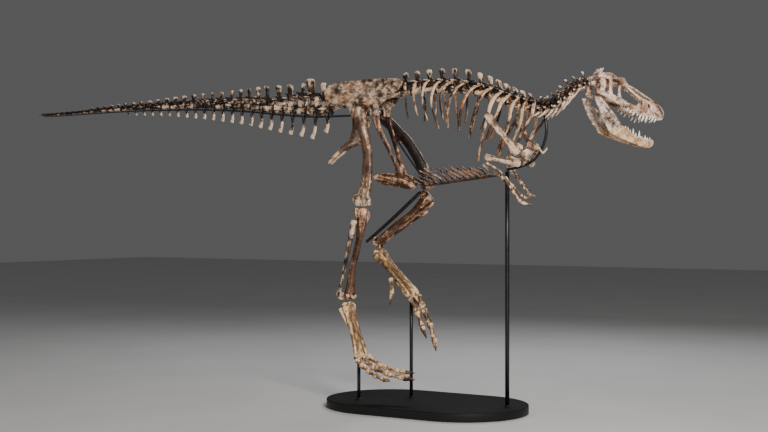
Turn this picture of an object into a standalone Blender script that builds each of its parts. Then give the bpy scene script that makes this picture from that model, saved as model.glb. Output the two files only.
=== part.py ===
"""A mounted skeleton of a young tyrannosaur on its steel stand, at life size.

Frame: metres, +X towards the head along the base, +Y the animal's left, +Z up.
The origin is the middle of the base's underside.
"""

import math

import bmesh
import bpy
import numpy as np
from mathutils import Vector

GAP = 0.0006                      # clearance between neighbouring pieces
FINE_STEPS = 400                  # rows worked out along the trunk and the tail bar

# The stand
BASE_LENGTH = 1.815
BASE_WIDTH = 1.122
BASE_THICK = 0.073
BASE_EDGE = 0.006
BASE_ARC_STEPS = 12
REAR_ROD_RADIUS = 0.015
FRONT_ROD_RADIUS = 0.018
REAR_ROD = Vector((-0.538, -0.222))
MIDDLE_ROD = Vector((-0.198, 0.091))
FRONT_ROD = Vector((0.748, 0.045))
REAR_ROD_TOP = 0.405
MIDDLE_ROD_TOP = 0.925
FRONT_ROD_TOP = 2.02
ROD_FOOT_SPREAD = 0.008
ROD_FOOT_HEIGHT = 0.008
TAIL_BAR_STEP = 21                # fine steps between two rings of the tail bar

# The bars that follow the bones: x, y, z, and half thickness where it changes
NECK_BAR = ((0.748, 0.045, 2.036), (0.86, 0.03, 2.052), (1.02, 0.0, 2.115), (1.092, 0.0, 2.22),
            (1.122, 0.0, 2.34), (1.110, 0.0, 2.458))
NECK_BAR_HALF = 0.012
YOKE_AT = (1.00, 2.104)
YOKE_REACH = 0.036
THIGH_BAR = ((-0.420, 0.126, 2.392, 0.008), (-0.358, 0.126, 2.309, 0.008), (-0.114, 0.126, 1.989, 0.008))
SHIN_BAR = ((-0.131, 0.130, 1.857, 0.016), (-0.404, 0.138, 1.635, 0.016), (-0.688, 0.144, 1.419, 0.014))

# The tail bar, as x, z and half thickness, and what rides on it
TAIL_BAR = ((-0.72, 2.538, 0.010), (-1.178, 2.545, 0.010), (-1.489, 2.573, 0.0095),
            (-1.809, 2.611, 0.009), (-2.138, 2.641, 0.0085), (-2.476, 2.662, 0.008),
            (-2.845, 2.675, 0.007), (-3.205, 2.683, 0.006), (-3.574, 2.685, 0.0055),
            (-3.956, 2.681, 0.005), (-4.35, 2.677, 0.004), (-4.612, 2.681, 0.003))

# The line of the centra in front of the tail: x, y, z and half height of the centrum
TRUNK_LINE = ((-0.97, 0.0, 2.628, 0.050), (-0.60, 0.0, 2.690, 0.048), (-0.24, 0.0, 2.722, 0.050),
              (0.144, 0.0, 2.735, 0.048), (0.42, 0.0, 2.708, 0.046), (0.62, 0.0, 2.655, 0.045),
              (0.80, 0.0, 2.588, 0.044), (0.949, 0.0, 2.540, 0.043), (1.065, 0.0, 2.519, 0.042),
              (1.164, 0.012, 2.532, 0.041), (1.232, 0.038, 2.575, 0.040),
              (1.289, 0.068, 2.630, 0.039), (1.343, 0.100, 2.685, 0.037),
              (1.395, 0.124, 2.715, 0.033), (1.432, 0.140, 2.717, 0.027))

NECK_COUNT = 9
DORSAL_COUNT = 13
SACRAL_COUNT = 5
SACRUM_REAR_X = -0.965
SACRUM_FRONT_X = -0.245
DORSAL_FRONT_X = 1.060

# Numbers of vertebrae in each length of the tail, and lengths by number back along the column
TAIL_LENGTHS = (("tail_1", 7), ("tail_2", 7), ("tail_3", 7), ("tail_4", 8), ("tail_tip", 8))
CAUDAL_PITCH = ((0, 0.133), (5, 0.116), (19, 0.108), (24, 0.090), (36, 0.058))
DORSAL_PITCH = ((0, 0.062), (4, 0.085), (7, 0.120), (9, 0.122), (12, 0.108))

# The head
HEAD_AT = Vector((1.481, 0.190, 2.700))
HEAD_YAW = math.radians(50)
SKULL_PITCH = math.radians(20)
JAW_AT = Vector((1.449, 0.153, 2.589))
JAW_PITCH = math.radians(38.8)

# The hips
HIP = Vector((-0.562, 0.150, 2.545))
ILIUM_Y = 0.112
ILIUM_LEAN = 0.10
ILIUM_THICK = 0.026
SOCKET_RADIUS = 0.070

LEFT = Vector((0.0, 1.0, 0.0))
UP = Vector((0.0, 0.0, 1.0))


# ---------------------------------------------------------------- materials

def material(name, colour, roughness, metallic=0.0):
    made = bpy.data.materials.new(name)
    made.use_nodes = True
    shader = made.node_tree.nodes["Principled BSDF"]
    shader.inputs["Base Color"].default_value = (*colour, 1.0)
    shader.inputs["Roughness"].default_value = roughness
    shader.inputs["Metallic"].default_value = metallic
    return made


for old in list(bpy.data.objects):
    bpy.data.objects.remove(old)

DARK_BONE = material("dark fossil bone", (0.16, 0.085, 0.05), 0.55)
WARM_BONE = material("warm fossil bone", (0.36, 0.20, 0.11), 0.55)
PALE_BONE = material("pale fossil bone", (0.52, 0.36, 0.22), 0.55)
STEEL = material("black steel", (0.012, 0.012, 0.013), 0.35, 0.9)
BASE_PAINT = material("matte black base", (0.014, 0.014, 0.015), 0.6)


# ---------------------------------------------------------------- shapes

def course(keys, count):
    """Rows spaced evenly along a smooth curve through the keys; any further columns follow it."""
    keys = np.array(keys, float)
    steps = np.linalg.norm(np.diff(keys[:, :3], axis=0), axis=1)
    at = np.concatenate([[0.0], np.cumsum(steps)])
    slope = np.gradient(keys, at, axis=0)
    want = np.linspace(0.0, at[-1], count)
    i = np.clip(np.searchsorted(at, want, side="right") - 1, 0, len(at) - 2)
    span = (at[i + 1] - at[i])[:, None]
    t = ((want - at[i]) / span[:, 0])[:, None]
    return ((2 * t**3 - 3 * t**2 + 1) * keys[i] + (t**3 - 2 * t**2 + t) * span * slope[i]
            + (3 * t**2 - 2 * t**3) * keys[i + 1] + (t**3 - t**2) * span * slope[i + 1])


def blend(share, low, high):
    return low + (high - low) * share


def between(x, *knots):
    """The value at x on straight lines between (x, value) knots."""
    return float(np.interp(x, [k[0] for k in knots], [k[1] for k in knots]))


def skin(rings):
    """A closed shell over rings of equal length, with a flat cap at each end."""
    sides = len(rings[0])
    points = [Vector(p) for ring in rings for p in ring]
    faces = []
    for r in range(len(rings) - 1):
        for s in range(sides):
            a, b = r * sides + s, r * sides + (s + 1) % sides
            faces.append((a, b, b + sides, a + sides))
    faces.append(tuple(reversed(range(sides))))
    faces.append(tuple(range(len(points) - sides, len(points))))
    return points, faces


def limb(rows, sides=6, across=LEFT, turn=0.5):
    """A rod through rows of x, y, z, half width along `across` and half depth the other way."""
    rows = np.array(rows, float)
    if rows.shape[1] == 4:
        rows = np.column_stack([rows, rows[:, 3]])
    ways = np.gradient(rows[:, :3], axis=0)
    rings = []
    for row, way in zip(rows, ways):
        way = Vector(way).normalized()
        wide = (Vector(across) - way * way.dot(Vector(across))).normalized()
        deep = way.cross(wide)
        ring = []
        for k in range(sides):
            a = 2 * math.pi * (k + turn) / sides
            ring.append(Vector(row[:3]) + wide * (row[3] * math.cos(a)) + deep * (row[4] * math.sin(a)))
        rings.append(ring)
    return skin(rings)


def shaft(start, end, rows, sides=6, lateral=LEFT):
    """A long bone: rows of share of its length, shift to its front, half width and half depth."""
    start, end = Vector(start), Vector(end)
    axis = (end - start).normalized()
    side = (lateral - axis * axis.dot(lateral)).normalized()
    front = axis.cross(side)
    placed = []
    for share, shift, width, depth in rows:
        centre = start + (end - start) * share + front * shift
        placed.append((*centre, width, depth))
    return limb(placed, sides, lateral)


def slab(outline, place, half_thick, bevel=0.0):
    """A flat plate: the outline's (u, v) points, put in space by place(u, v, w)."""
    mesh = bmesh.new()
    low = [mesh.verts.new((u, v, -half_thick)) for u, v in outline]
    face = mesh.faces.new(low)
    raised = bmesh.ops.extrude_face_region(mesh, geom=[face])
    top = [g for g in raised["geom"] if isinstance(g, bmesh.types.BMVert)]
    bmesh.ops.translate(mesh, verts=top, vec=(0, 0, 2 * half_thick))
    bmesh.ops.recalc_face_normals(mesh, faces=mesh.faces)
    if bevel:
        rim = [e for e in mesh.edges if abs(e.verts[0].co.z - e.verts[1].co.z) < half_thick]
        bmesh.ops.bevel(mesh, geom=rim, offset=bevel, segments=1, affect="EDGES")
    mesh.verts.ensure_lookup_table()
    points = [Vector(place(*v.co)) for v in mesh.verts]
    faces = [tuple(v.index for v in f.verts) for f in mesh.faces]
    mesh.free()
    return points, faces


def mirrored(shell):
    points, faces = shell
    return [Vector((p.x, -p.y, p.z)) for p in points], [tuple(reversed(f)) for f in faces]


# ---------------------------------------------------------------- objects

def raw_object(name, shells):
    points, faces = [], []
    for shell_points, shell_faces in shells:
        start = len(points)
        points += shell_points
        faces += [tuple(start + i for i in face) for face in shell_faces]
    mesh = bpy.data.meshes.new(name)
    mesh.from_pydata(points, [], faces)
    tidy = bmesh.new()
    tidy.from_mesh(mesh)
    bmesh.ops.recalc_face_normals(tidy, faces=tidy.faces)
    tidy.to_mesh(mesh)
    tidy.free()
    made = bpy.data.objects.new(name, mesh)
    bpy.context.scene.collection.objects.link(made)
    return made


def helper(name, shells):
    made = raw_object(name, shells)
    made.hide_render = True
    made.display_type = "WIRE"
    return made


def boolean(target, other, operation):
    step = target.modifiers.new(operation.title(), "BOOLEAN")
    step.operation = operation
    step.object = other
    step.solver = "EXACT"
    step.use_self = operation == "UNION"


def piece(name, shells, surface, cuts=()):
    """One named piece: its shells joined into one body, less the cutters."""
    made = raw_object(name, shells[:1])
    made.data.materials.append(surface)
    if len(shells) > 1:
        boolean(made, helper(name + "_joined", shells[1:]), "UNION")
    for number, cutter in enumerate(cuts):
        boolean(made, helper(f"{name}_cut_{number}", [cutter]), "DIFFERENCE")
    made.data.shade_smooth()
    made.data.set_sharp_from_angle(angle=math.radians(35))
    return made


# ---------------------------------------------------------------- the stand

def base_outline():
    """A rectangle with half-round ends."""
    radius = BASE_WIDTH / 2
    reach = BASE_LENGTH / 2 - radius
    turns = [math.pi * k / BASE_ARC_STEPS - math.pi / 2 for k in range(BASE_ARC_STEPS + 1)]
    right = [(reach + radius * math.cos(a), radius * math.sin(a)) for a in turns]
    return right + [(-x, -y) for x, y in right]


def make_stand():
    half = BASE_THICK / 2
    slab_shell = slab(base_outline(), lambda u, v, w: (u, v, w + half), half, BASE_EDGE)
    piece("stand_base", [slab_shell], BASE_PAINT)
    foot = BASE_THICK + GAP
    rods = (("rear", REAR_ROD, REAR_ROD_TOP, REAR_ROD_RADIUS),
            ("middle", MIDDLE_ROD, MIDDLE_ROD_TOP, REAR_ROD_RADIUS),
            ("front", FRONT_ROD, FRONT_ROD_TOP, FRONT_ROD_RADIUS))
    for name, at, top, radius in rods:
        wide = radius + ROD_FOOT_SPREAD
        rows = [(*at, foot, wide), (*at, foot + ROD_FOOT_HEIGHT, wide),
                (*at, foot + ROD_FOOT_HEIGHT + 0.001, radius), (*at, top, radius)]
        piece("stand_rod_" + name, [limb(rows, 8)], STEEL)
    piece("stand_tail_bar", [limb(BAR_ROWS[::TAIL_BAR_STEP], 6)], STEEL)
    piece("stand_thigh_bar", [limb(THIGH_BAR, 6)], STEEL)
    piece("stand_shin_bar", [limb(SHIN_BAR, 6)], STEEL)
    neck_bar = [(*row, NECK_BAR_HALF) for row in course(NECK_BAR, 8)]
    yoke = [(YOKE_AT[0], y, YOKE_AT[1], NECK_BAR_HALF * 0.9) for y in (-YOKE_REACH, YOKE_REACH)]
    piece("stand_neck_bar", [limb(neck_bar, 6), limb(yoke, 6, across=UP)], STEEL)


# ---------------------------------------------------------------- the column of vertebrae

# A vertebra's outline seen along the column, in half heights of its centrum: y to the left, z up.
# At a rim the spool is wide, at its waist it is pinched and the neural arch rises over it.
RIM = ((0.45, 1.05), (-0.45, 1.05), (-1.00, 0.20), (-0.55, -0.95), (0.55, -0.95), (1.00, 0.20))
WAIST = ((0.30, 1.50), (-0.30, 1.50), (-0.72, 0.15), (-0.42, -0.74), (0.42, -0.74), (0.72, 0.15))
TOP, RIGHT_ARCH, RIGHT_BODY, UNDER, LEFT_BODY, LEFT_ARCH = range(6)


class Body:
    """A closed shell that grows: rings are bridged, and side faces are pulled out into branches."""

    def __init__(self):
        self.points = []
        self.faces = []

    def add(self, points):
        start = len(self.points)
        self.points += [Vector(p) for p in points]
        return list(range(start, len(self.points)))

    def bridge(self, first, second, leave_out=()):
        """Quads between two rings. Returns the quads that were left open, by number."""
        sides = len(first)
        ports = {}
        for k in range(sides):
            after = (k + 1) % sides
            quad = [first[k], first[after], second[after], second[k]]
            if k in leave_out:
                ports[k] = quad
            else:
                self.faces.append(tuple(quad))
        return ports

    def grow(self, ring, stages):
        """Pulls an open face out through stages of as many points, and closes its end."""
        for stage in stages:
            following = self.add(stage)
            self.bridge(ring, following)
            ring = following
        self.faces.append(tuple(ring))
        return ring

    def shell(self):
        return self.points, self.faces


def profile(station, shape, half_only=False):
    """An outline placed at a station; half_only keeps its right half, closed on the midplane."""
    centre, forward, half = station
    side = UP.cross(forward).normalized()
    up = forward.cross(side).normalized()
    if half_only:
        right = [(y * half, z * half) for y, z in shape[1:4]]
        flat = [(-GAP, shape[0][1] * half), *right, (-GAP, shape[3][1] * half)]
    else:
        flat = [(y * half, z * half) for y, z in shape]
    return [centre + side * y + up * z for y, z in flat]


def column(body, rims, open_faces, half_only=False):
    """Spools from rim to rim. Returns each vertebra's middle station and its open faces."""
    ring = body.add(profile(rims[0], RIM, half_only))
    body.faces.append(tuple(ring))
    found = []
    for number in range(len(rims) - 1):
        start, end = rims[number], rims[number + 1]
        thirds = []
        for share in (0.27, 0.73):
            centre = start[0].lerp(end[0], share)
            forward = start[1].lerp(end[1], share).normalized()
            thirds.append((centre, forward, blend(share, start[2], end[2])))
        first = body.add(profile(thirds[0], WAIST, half_only))
        second = body.add(profile(thirds[1], WAIST, half_only))
        last = body.add(profile(end, RIM, half_only))
        body.bridge(ring, first)
        ports = body.bridge(first, second, open_faces(number))
        body.bridge(second, last)
        ring = last
        middle = (start[0].lerp(end[0], 0.5), start[1].lerp(end[1], 0.5).normalized(),
                  (start[2] + end[2]) / 2)
        found.append((middle, (end[0] - start[0]).length, ports))
    body.faces.append(tuple(ring))
    return found


def spine_stages(middle, rows, lean=0.0, half_only=False, upright=False):
    """A neural spine: rows of height, half length, half thickness; it leans back by lean."""
    centre, forward, _ = middle
    side = UP.cross(forward).normalized()
    if upright:
        forward = side.cross(UP)
    up = forward.cross(side).normalized()
    stages = []
    for height, half_length, half_thick in rows:
        at = centre + up * height - forward * (lean * height)
        left = -GAP if half_only else half_thick
        front, rear = at + forward * half_length, at - forward * half_length
        stages.append([front + side * left, front - side * half_thick,
                       rear - side * half_thick, rear + side * left])
    return stages


def wing_stage(middle, hand, out, rise, half_length, half_thick, back=0.0):
    """The end of a transverse process on one side, out and up from the vertebra's middle."""
    centre, forward, _ = middle
    side = UP.cross(forward).normalized() * hand
    up = forward.cross(UP.cross(forward).normalized()).normalized()
    at = centre + side * out + up * rise - forward * back
    corners = [at + forward * half_length * a + up * half_thick * b
               for a, b in ((1, 1), (1, -1), (-1, -1), (-1, 1))]
    if hand > 0:
        corners = [corners[1], corners[0], corners[3], corners[2]]
    return corners


def rows_at_x(rows, x):
    order = np.argsort(rows[:, 0])
    return [float(np.interp(x, rows[order, 0], rows[order, c])) for c in range(rows.shape[1])]


def tail_station(x):
    """A caudal rim: its centrum sits on the tail bar."""
    _, _, bar_z, bar_half = rows_at_x(BAR_ROWS, x)[:4]
    half = between(x, (-4.612, 0.007), (-3.9, 0.015), (-3.2, 0.023), (-2.5, 0.033), (-1.2, 0.049))
    return Vector((x, 0.0, bar_z + bar_half + half * 0.95 + 4 * GAP)), Vector((1.0, 0.0, 0.0)), half


def caudal_ends():
    """The x of each joint between tail vertebrae, from the hips back."""
    count = sum(n for _, n in TAIL_LENGTHS)
    lengths = np.array([between(k, *CAUDAL_PITCH) for k in range(count)])
    lengths *= (SACRUM_REAR_X - TAIL_BAR[-1][0]) / lengths.sum()
    return SACRUM_REAR_X - np.concatenate([[0.0], np.cumsum(lengths)])


def fork(body, right, left, x, length, thick):
    """A chevron: prongs from both sides of a centrum pass the tail bar and join in a bent foot."""
    _, _, bar_z, bar_half = rows_at_x(BAR_ROWS, x + 0.035)[:4]
    inner = bar_half + 0.0015
    outer = inner + 1.5 * thick
    level = bar_z - bar_half - 0.002
    front, rear = x + 0.020 + thick * 1.5, x + 0.020 - thick * 1.5
    right_end = body.add([(front, -outer, level), (front, -inner, level),
                          (rear, -inner, level), (rear, -outer, level)])
    left_end = body.add([(front, inner, level), (front, outer, level),
                         (rear, outer, level), (rear, inner, level)])
    body.bridge(right, right_end)
    body.bridge(left, left_end)
    mid_x, mid_z = x + 0.032 - 0.08 * length, level - 0.45 * length
    mid = body.add([(mid_x + thick * a, thick * 1.1 * b, mid_z)
                    for a, b in ((2.1, -1), (2.1, 1), (-2.1, 1), (-2.1, -1))])
    body.faces.append((right_end[1], left_end[0], left_end[3], right_end[2]))
    body.faces.append((right_end[0], right_end[1], left_end[0], left_end[1], mid[1], mid[0]))
    body.faces.append((left_end[2], left_end[3], right_end[2], right_end[3], mid[3], mid[2]))
    body.faces.append((left_end[1], left_end[2], mid[2], mid[1]))
    body.faces.append((right_end[3], right_end[0], mid[0], mid[3]))
    low_x, low_z = x + 0.050 - 0.32 * length, level - length
    body.grow(mid, [[(low_x + thick * a, thick * 1.0 * b, low_z + thick * c) for a, c, b in
                     ((2.6, 0, -1), (2.6, 0, 1), (-3.6, 0.8, 1), (-3.6, 0.8, -1))]])


def make_tail():
    ends = caudal_ends()
    start = 0
    for name, count in TAIL_LENGTHS:
        own = ends[start:start + count + 1].copy()
        own[0] -= GAP
        own[-1] += GAP
        body = Body()
        found = column(body, [tail_station(x) for x in own], lambda n, first=start: caudal_ports(first + n))
        for offset, (middle, length, ports) in enumerate(found):
            caudal_branches(body, start + offset, middle, length, ports)
        piece(name, [body.shell()], DARK_BONE)
        start += count


LAST_SPINE, LAST_WING, LAST_CHEVRON = 26, 12, 21

# Heights over the middle of the centrum, by number back along the tail
CAUDAL_ARCH = ((0, 0.150), (1, 0.160), (2, 0.156), (3, 0.138), (4, 0.113), (5, 0.094), (7, 0.088),
               (10, 0.068), (13, 0.048), (20, 0.030), (27, 0.018))
CAUDAL_SPINE = ((0, 0.245), (1, 0.282), (2, 0.243), (3, 0.225), (10, 0.130), (18, 0.068), (27, 0.036))
# How much broader the first spines are than the rest, and how far their tops stand off, rearward below 0
SPINE_BREADTH = (1.0, 1.7, 0.8, 1.2, 1.2, 1.1, 1.0, 0.7, 0.8, 0.85, 0.8, 0.7, 0.9, 1.0)
SPINE_OFFSET = (0.0, -0.02, 0.02, -0.008, -0.02, -0.045, -0.018,
                -0.01, 0.012, 0.025, 0.01, 0.014, 0.01, 0.01)


def caudal_ports(number):
    ports = []
    if number <= LAST_SPINE:
        ports.append(TOP)
    if number <= LAST_WING:
        ports += [RIGHT_ARCH, LEFT_ARCH]
    if number <= LAST_CHEVRON:
        ports += [RIGHT_BODY, LEFT_BODY]
    return ports


def caudal_branches(body, number, middle, length, ports):
    centre, _, half = middle
    if TOP in ports:
        top, arch = between(number, *CAUDAL_SPINE), between(number, *CAUDAL_ARCH)
        first = number < len(SPINE_BREADTH)
        run = length * 0.20 * (SPINE_BREADTH[number] if first else 1.1)
        lean = 0.12 - (SPINE_OFFSET[number] / top if first else 0.0)
        thick = 0.004 + 0.05 * half
        stages = spine_stages(middle, ((arch, length * 0.40, half * 0.36),))
        neck = arch + 0.1 * (top - arch)
        stages += spine_stages(middle, ((neck, run * 0.8, thick), (top, run, thick * 1.5)), lean)
        body.grow(ports[TOP], stages if number <= LAST_WING else stages[::2])
    for port, hand in ((RIGHT_ARCH, -1), (LEFT_ARCH, 1)):
        if port in ports:
            reach = between(number, (0, 0.135), (8, 0.085), (13, 0.048))
            rise = between(number, *CAUDAL_ARCH) * 0.72
            body.grow(ports[port], [wing_stage(middle, hand, reach, rise, length * 0.16, 0.006, 0.02)])
    if RIGHT_BODY in ports:
        drop = between(number, (0, 0.13), (1, 0.185), (2, 0.165), (8, 0.105), (16, 0.045), (24, 0.018))
        thick = between(number, (0, 0.0082), (12, 0.0066), (24, 0.0035))
        fork(body, ports[RIGHT_BODY], ports[LEFT_BODY], centre.x, drop, thick)


def trunk_rows():
    """The trunk's line in even steps, with its running length, for placing vertebrae on it."""
    rows = course(TRUNK_LINE, FINE_STEPS)
    steps = np.linalg.norm(np.diff(rows[:, :3], axis=0), axis=1)
    return rows, np.concatenate([[0.0], np.cumsum(steps)])


TRUNK = trunk_rows()
BAR_ROWS = course([(x, 0.0, z, half_thick) for x, z, half_thick in TAIL_BAR], FINE_STEPS)


def on_trunk(length):
    """The station at a running length: centre, way forward and half height."""
    rows, at = TRUNK
    row = [float(np.interp(length, at, rows[:, c])) for c in range(4)]
    ahead = Vector([float(np.interp(length + 0.02, at, rows[:, c])) for c in range(3)])
    behind = Vector([float(np.interp(length - 0.02, at, rows[:, c])) for c in range(3)])
    return Vector(row[:3]), (ahead - behind).normalized(), row[3]


def length_at_x(x):
    rows, at = TRUNK
    return float(np.interp(x, rows[:, 0], at))


def rims_between(front, rear, count):
    """Rims of count vertebrae between two running lengths, from the front back, with end gaps."""
    ends = np.linspace(front, rear, count + 1)
    ends[0] -= GAP
    ends[-1] += GAP
    return [on_trunk(end) for end in ends]


# Ribs, counted from the front: how far each hangs below its head
RIB_DROP = (0.28, 0.44, 0.43, 0.36, 0.55, 0.40, 0.33, 0.37, 0.32, 0.40, 0.33, 0.28, 0.30)


def rib_stages(number, middle):
    """A rib on the right: out from its vertebra, round the chest and down to its tip."""
    centre, _, half = middle
    drop = RIB_DROP[number]
    wide = between(number, (0, 0.125), (3, 0.185), (7, 0.25), (12, 0.165))
    mid_shift = between(number, (0, 0.02), (3, -0.045), (7, -0.055), (9, 0.0), (12, 0.085))
    tip_shift = between(number, (0, -0.10), (3, -0.165), (5, -0.13), (7, -0.10), (9, 0.05), (12, 0.095))
    z = centre.z + half * 0.9
    thick = between(number, (0, 0.012), (4, 0.0145), (9, 0.011), (12, 0.009))
    keys = ((centre.x + 0.025, -0.075, z + 0.020, thick * 1.25),
            (centre.x + 0.012 + mid_shift * 0.5, -wide * 0.76, z - drop * 0.08, thick * 1.25),
            (centre.x + mid_shift, -wide, z - drop * 0.38, thick),
            (centre.x + blend(0.55, mid_shift, tip_shift), -wide * 0.98, z - drop * 0.72, thick * 0.95),
            (centre.x + tip_shift, -wide * 0.82, z - drop, thick * 0.85))
    rows = course(keys, 4)
    ways = np.gradient(rows[:, :3], axis=0)
    stages = []
    for row, way in zip(rows, ways):
        way = Vector(way).normalized()
        fore = (Vector((1.0, 0.0, 0.0)) - way * way.x).normalized()
        out = way.cross(fore)
        at = Vector(row[:3])
        stages.append([at + fore * row[3] * 1.15 * a + out * row[3] * 0.62 * b
                       for a, b in ((1, 1), (1, -1), (-1, -1), (-1, 1))])
    return stages


def on_midplane(station):
    centre, forward, half = station
    return Vector((centre.x, 0.0, centre.z)), Vector((forward.x, 0.0, forward.z)).normalized(), half


def dorsal_rims():
    """Rims of the chest's vertebrae, from the front back, with end gaps."""
    front, rear = length_at_x(DORSAL_FRONT_X), length_at_x(SACRUM_FRONT_X)
    steps = np.array([between(k, *DORSAL_PITCH) for k in range(DORSAL_COUNT)])
    ends = front + (rear - front) * np.concatenate([[0.0], np.cumsum(steps)]) / steps.sum()
    ends[0] -= GAP
    ends[-1] += GAP
    return [on_midplane(on_trunk(end)) for end in ends]


def make_chest():
    body = Body()
    found = column(body, dorsal_rims(), lambda n: (TOP, RIGHT_ARCH), True)
    for number, (middle, length, ports) in enumerate(found):
        top = between(number, (0, 0.125), (4, 0.150), (7, 0.172), (12, 0.165))
        lean = between(number, (0, 0.50), (3, 0.42), (6, 0.15), (12, 0.08))
        body.grow(ports[TOP], spine_stages(middle, ((top * 0.55, length * 0.22, 0.008),
                                                    (top, 0.027, 0.014)), lean, True, True))
        body.grow(ports[RIGHT_ARCH], rib_stages(number, middle))
    piece("ribcage_right", [body.shell()], DARK_BONE)
    piece("ribcage_left", [mirrored(body.shell())], DARK_BONE)


def make_neck():
    joints = np.linspace(length_at_x(DORSAL_FRONT_X), TRUNK[1][-1], NECK_COUNT + 1)
    for name, first, last in (("neck_rear", 0, 5), ("neck_front", 5, NECK_COUNT)):
        rims = rims_between(joints[last], joints[first], last - first)
        if first == 0:
            rims[-1] = on_midplane(rims[-1])
        body = Body()
        found = column(body, rims, lambda n: (TOP, RIGHT_ARCH, RIGHT_BODY, LEFT_BODY, LEFT_ARCH))
        for offset, (middle, length, ports) in enumerate(found):
            cervical_branches(body, last - 1 - offset, middle, length, ports)
        piece(name, [body.shell()], DARK_BONE)


def cervical_branches(body, number, middle, length, ports):
    """Branches of a neck vertebra, counted from the chest."""
    centre, forward, half = middle
    side = UP.cross(forward).normalized()
    top = between(number, (0, 0.105), (3, 0.100), (6, 0.115), (8, 0.105))
    body.grow(ports[TOP], spine_stages(middle, ((top, length * 0.19, 0.011),), 0.1))
    for port, hand in ((RIGHT_ARCH, -1), (LEFT_ARCH, 1)):
        body.grow(ports[port], [wing_stage(middle, hand, 0.080, half * 0.3, length * 0.22, 0.009, 0.01)])
    reach = between(number, (0, 0.08), (4, 0.12), (7, 0.11), (8, 0.05))
    for port, hand in ((RIGHT_BODY, -1), (LEFT_BODY, 1)):
        root = centre + side * (hand * half * 1.15) - UP * half * 0.75
        tip = root - forward * reach * 0.75 + side * (hand * 0.03) - UP * reach * 0.45
        order = ((1, 1), (1, -1), (-1, -1), (-1, 1)) if hand < 0 else ((1, -1), (1, 1), (-1, 1), (-1, -1))
        stages = [[at + forward * size * a + side * (size * hand * b * 0.8) for a, b in order]
                  for at, size in ((root, 0.011), (tip, 0.003))]
        body.grow(ports[port], stages)


def make_sacrum():
    rims = rims_between(length_at_x(SACRUM_FRONT_X), length_at_x(SACRUM_REAR_X), SACRAL_COUNT)
    rims[-1] = (rims[-1][0], Vector((1.0, 0.0, 0.0)), rims[-1][2])
    body = Body()
    for middle, length, ports in column(body, rims, lambda n: (TOP, RIGHT_ARCH, LEFT_ARCH)):
        centre, _, half = middle
        body.grow(ports[TOP], spine_stages(middle, ((0.088, length * 0.42, 0.013),)))
        for port, hand in ((RIGHT_ARCH, -1), (LEFT_ARCH, 1)):
            reach = ilium_inside(centre.z + half * 0.5) - 0.002
            body.grow(ports[port], [wing_stage(middle, hand, reach, half * 0.35, length * 0.26, 0.016)])
    piece("sacrum", [body.shell()], DARK_BONE)


# ---------------------------------------------------------------- the hips

def ilium_middle(z):
    return ILIUM_Y - ILIUM_LEAN * (z - HIP.z)


def ilium_inside(z):
    return ilium_middle(z) - ILIUM_THICK / 2


def ilium_outline():
    """The blade, its two feet and the arc of the hip socket between them, in x and z."""
    blade_top = [(-0.985, 2.755), (-0.945, 2.806), (-0.80, 2.836), (-0.57, 2.842), (-0.34, 2.843),
                 (-0.215, 2.830), (-0.180, 2.800), (-0.215, 2.738), (-0.285, 2.690), (-0.350, 2.640)]
    front_foot = [(-0.400, 2.590), (-0.425, 2.530), (-0.472, 2.512)]
    rear_foot = [(-0.650, 2.512), (-0.690, 2.535), (-0.730, 2.600)]
    blade_rear = [(-0.83, 2.632), (-0.950, 2.650)]
    arc = []
    for k in range(5):
        a = math.radians(blend(k / 4, -8, 188))
        arc.append((HIP.x + SOCKET_RADIUS * math.cos(a), HIP.z + SOCKET_RADIUS * math.sin(a)))
    return blade_top + front_foot + arc + rear_foot + blade_rear


# The bones under the hip: x, distance from the midplane, z, half width and half depth
PUBIS = ((-0.442, 0.112, 2.508, 0.022, 0.034), (-0.415, 0.100, 2.42, 0.016, 0.026),
         (-0.34, 0.070, 2.25, 0.015, 0.021), (-0.27, 0.038, 2.09, 0.015, 0.023),
         (-0.23, 0.024, 1.985, 0.018, 0.040))
PUBIS_BOOT = ((-0.515, 0.0205, 1.988, 0.008, 0.012), (-0.44, 0.0205, 1.976, 0.018, 0.044),
              (-0.32, 0.0205, 1.962, 0.0185, 0.056), (-0.21, 0.0205, 1.948, 0.0185, 0.062),
              (-0.13, 0.0205, 1.920, 0.018, 0.038), (-0.105, 0.0205, 1.915, 0.010, 0.018))
ISCHIUM = ((-0.648, 0.108, 2.500, 0.020, 0.030), (-0.664, 0.092, 2.420, 0.014, 0.026),
           (-0.705, 0.076, 2.340, 0.012, 0.018), (-0.820, 0.050, 2.255, 0.012, 0.016),
           (-0.985, 0.022, 2.125, 0.014, 0.018))
ISCHIUM_FLANGE = ((-0.655, 0.094, 2.41, 0.008, 0.012), (-0.650, 0.078, 2.33, 0.007, 0.022),
                  (-0.735, 0.062, 2.285, 0.006, 0.010), (-0.80, 0.052, 2.262, 0.005, 0.006))


def on_side(rows, hand):
    return [(x, hand * y, *rest) for x, y, *rest in rows]


def make_hips():
    for name, hand in (("left", 1), ("right", -1)):
        def lean(u, v, w):
            return (u, hand * (ilium_middle(v) + w), v)

        piece("ilium_" + name, [slab(ilium_outline(), lean, ILIUM_THICK / 2)], WARM_BONE)
        pubis = limb(course(on_side(PUBIS, hand), 6))
        piece("pubis_" + name, [pubis, limb(on_side(PUBIS_BOOT, hand))], WARM_BONE)
        flange = limb(on_side(ISCHIUM_FLANGE, hand), 4)
        piece("ischium_" + name, [limb(on_side(ISCHIUM, hand)), flange], WARM_BONE)


# ---------------------------------------------------------------- the legs

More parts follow.
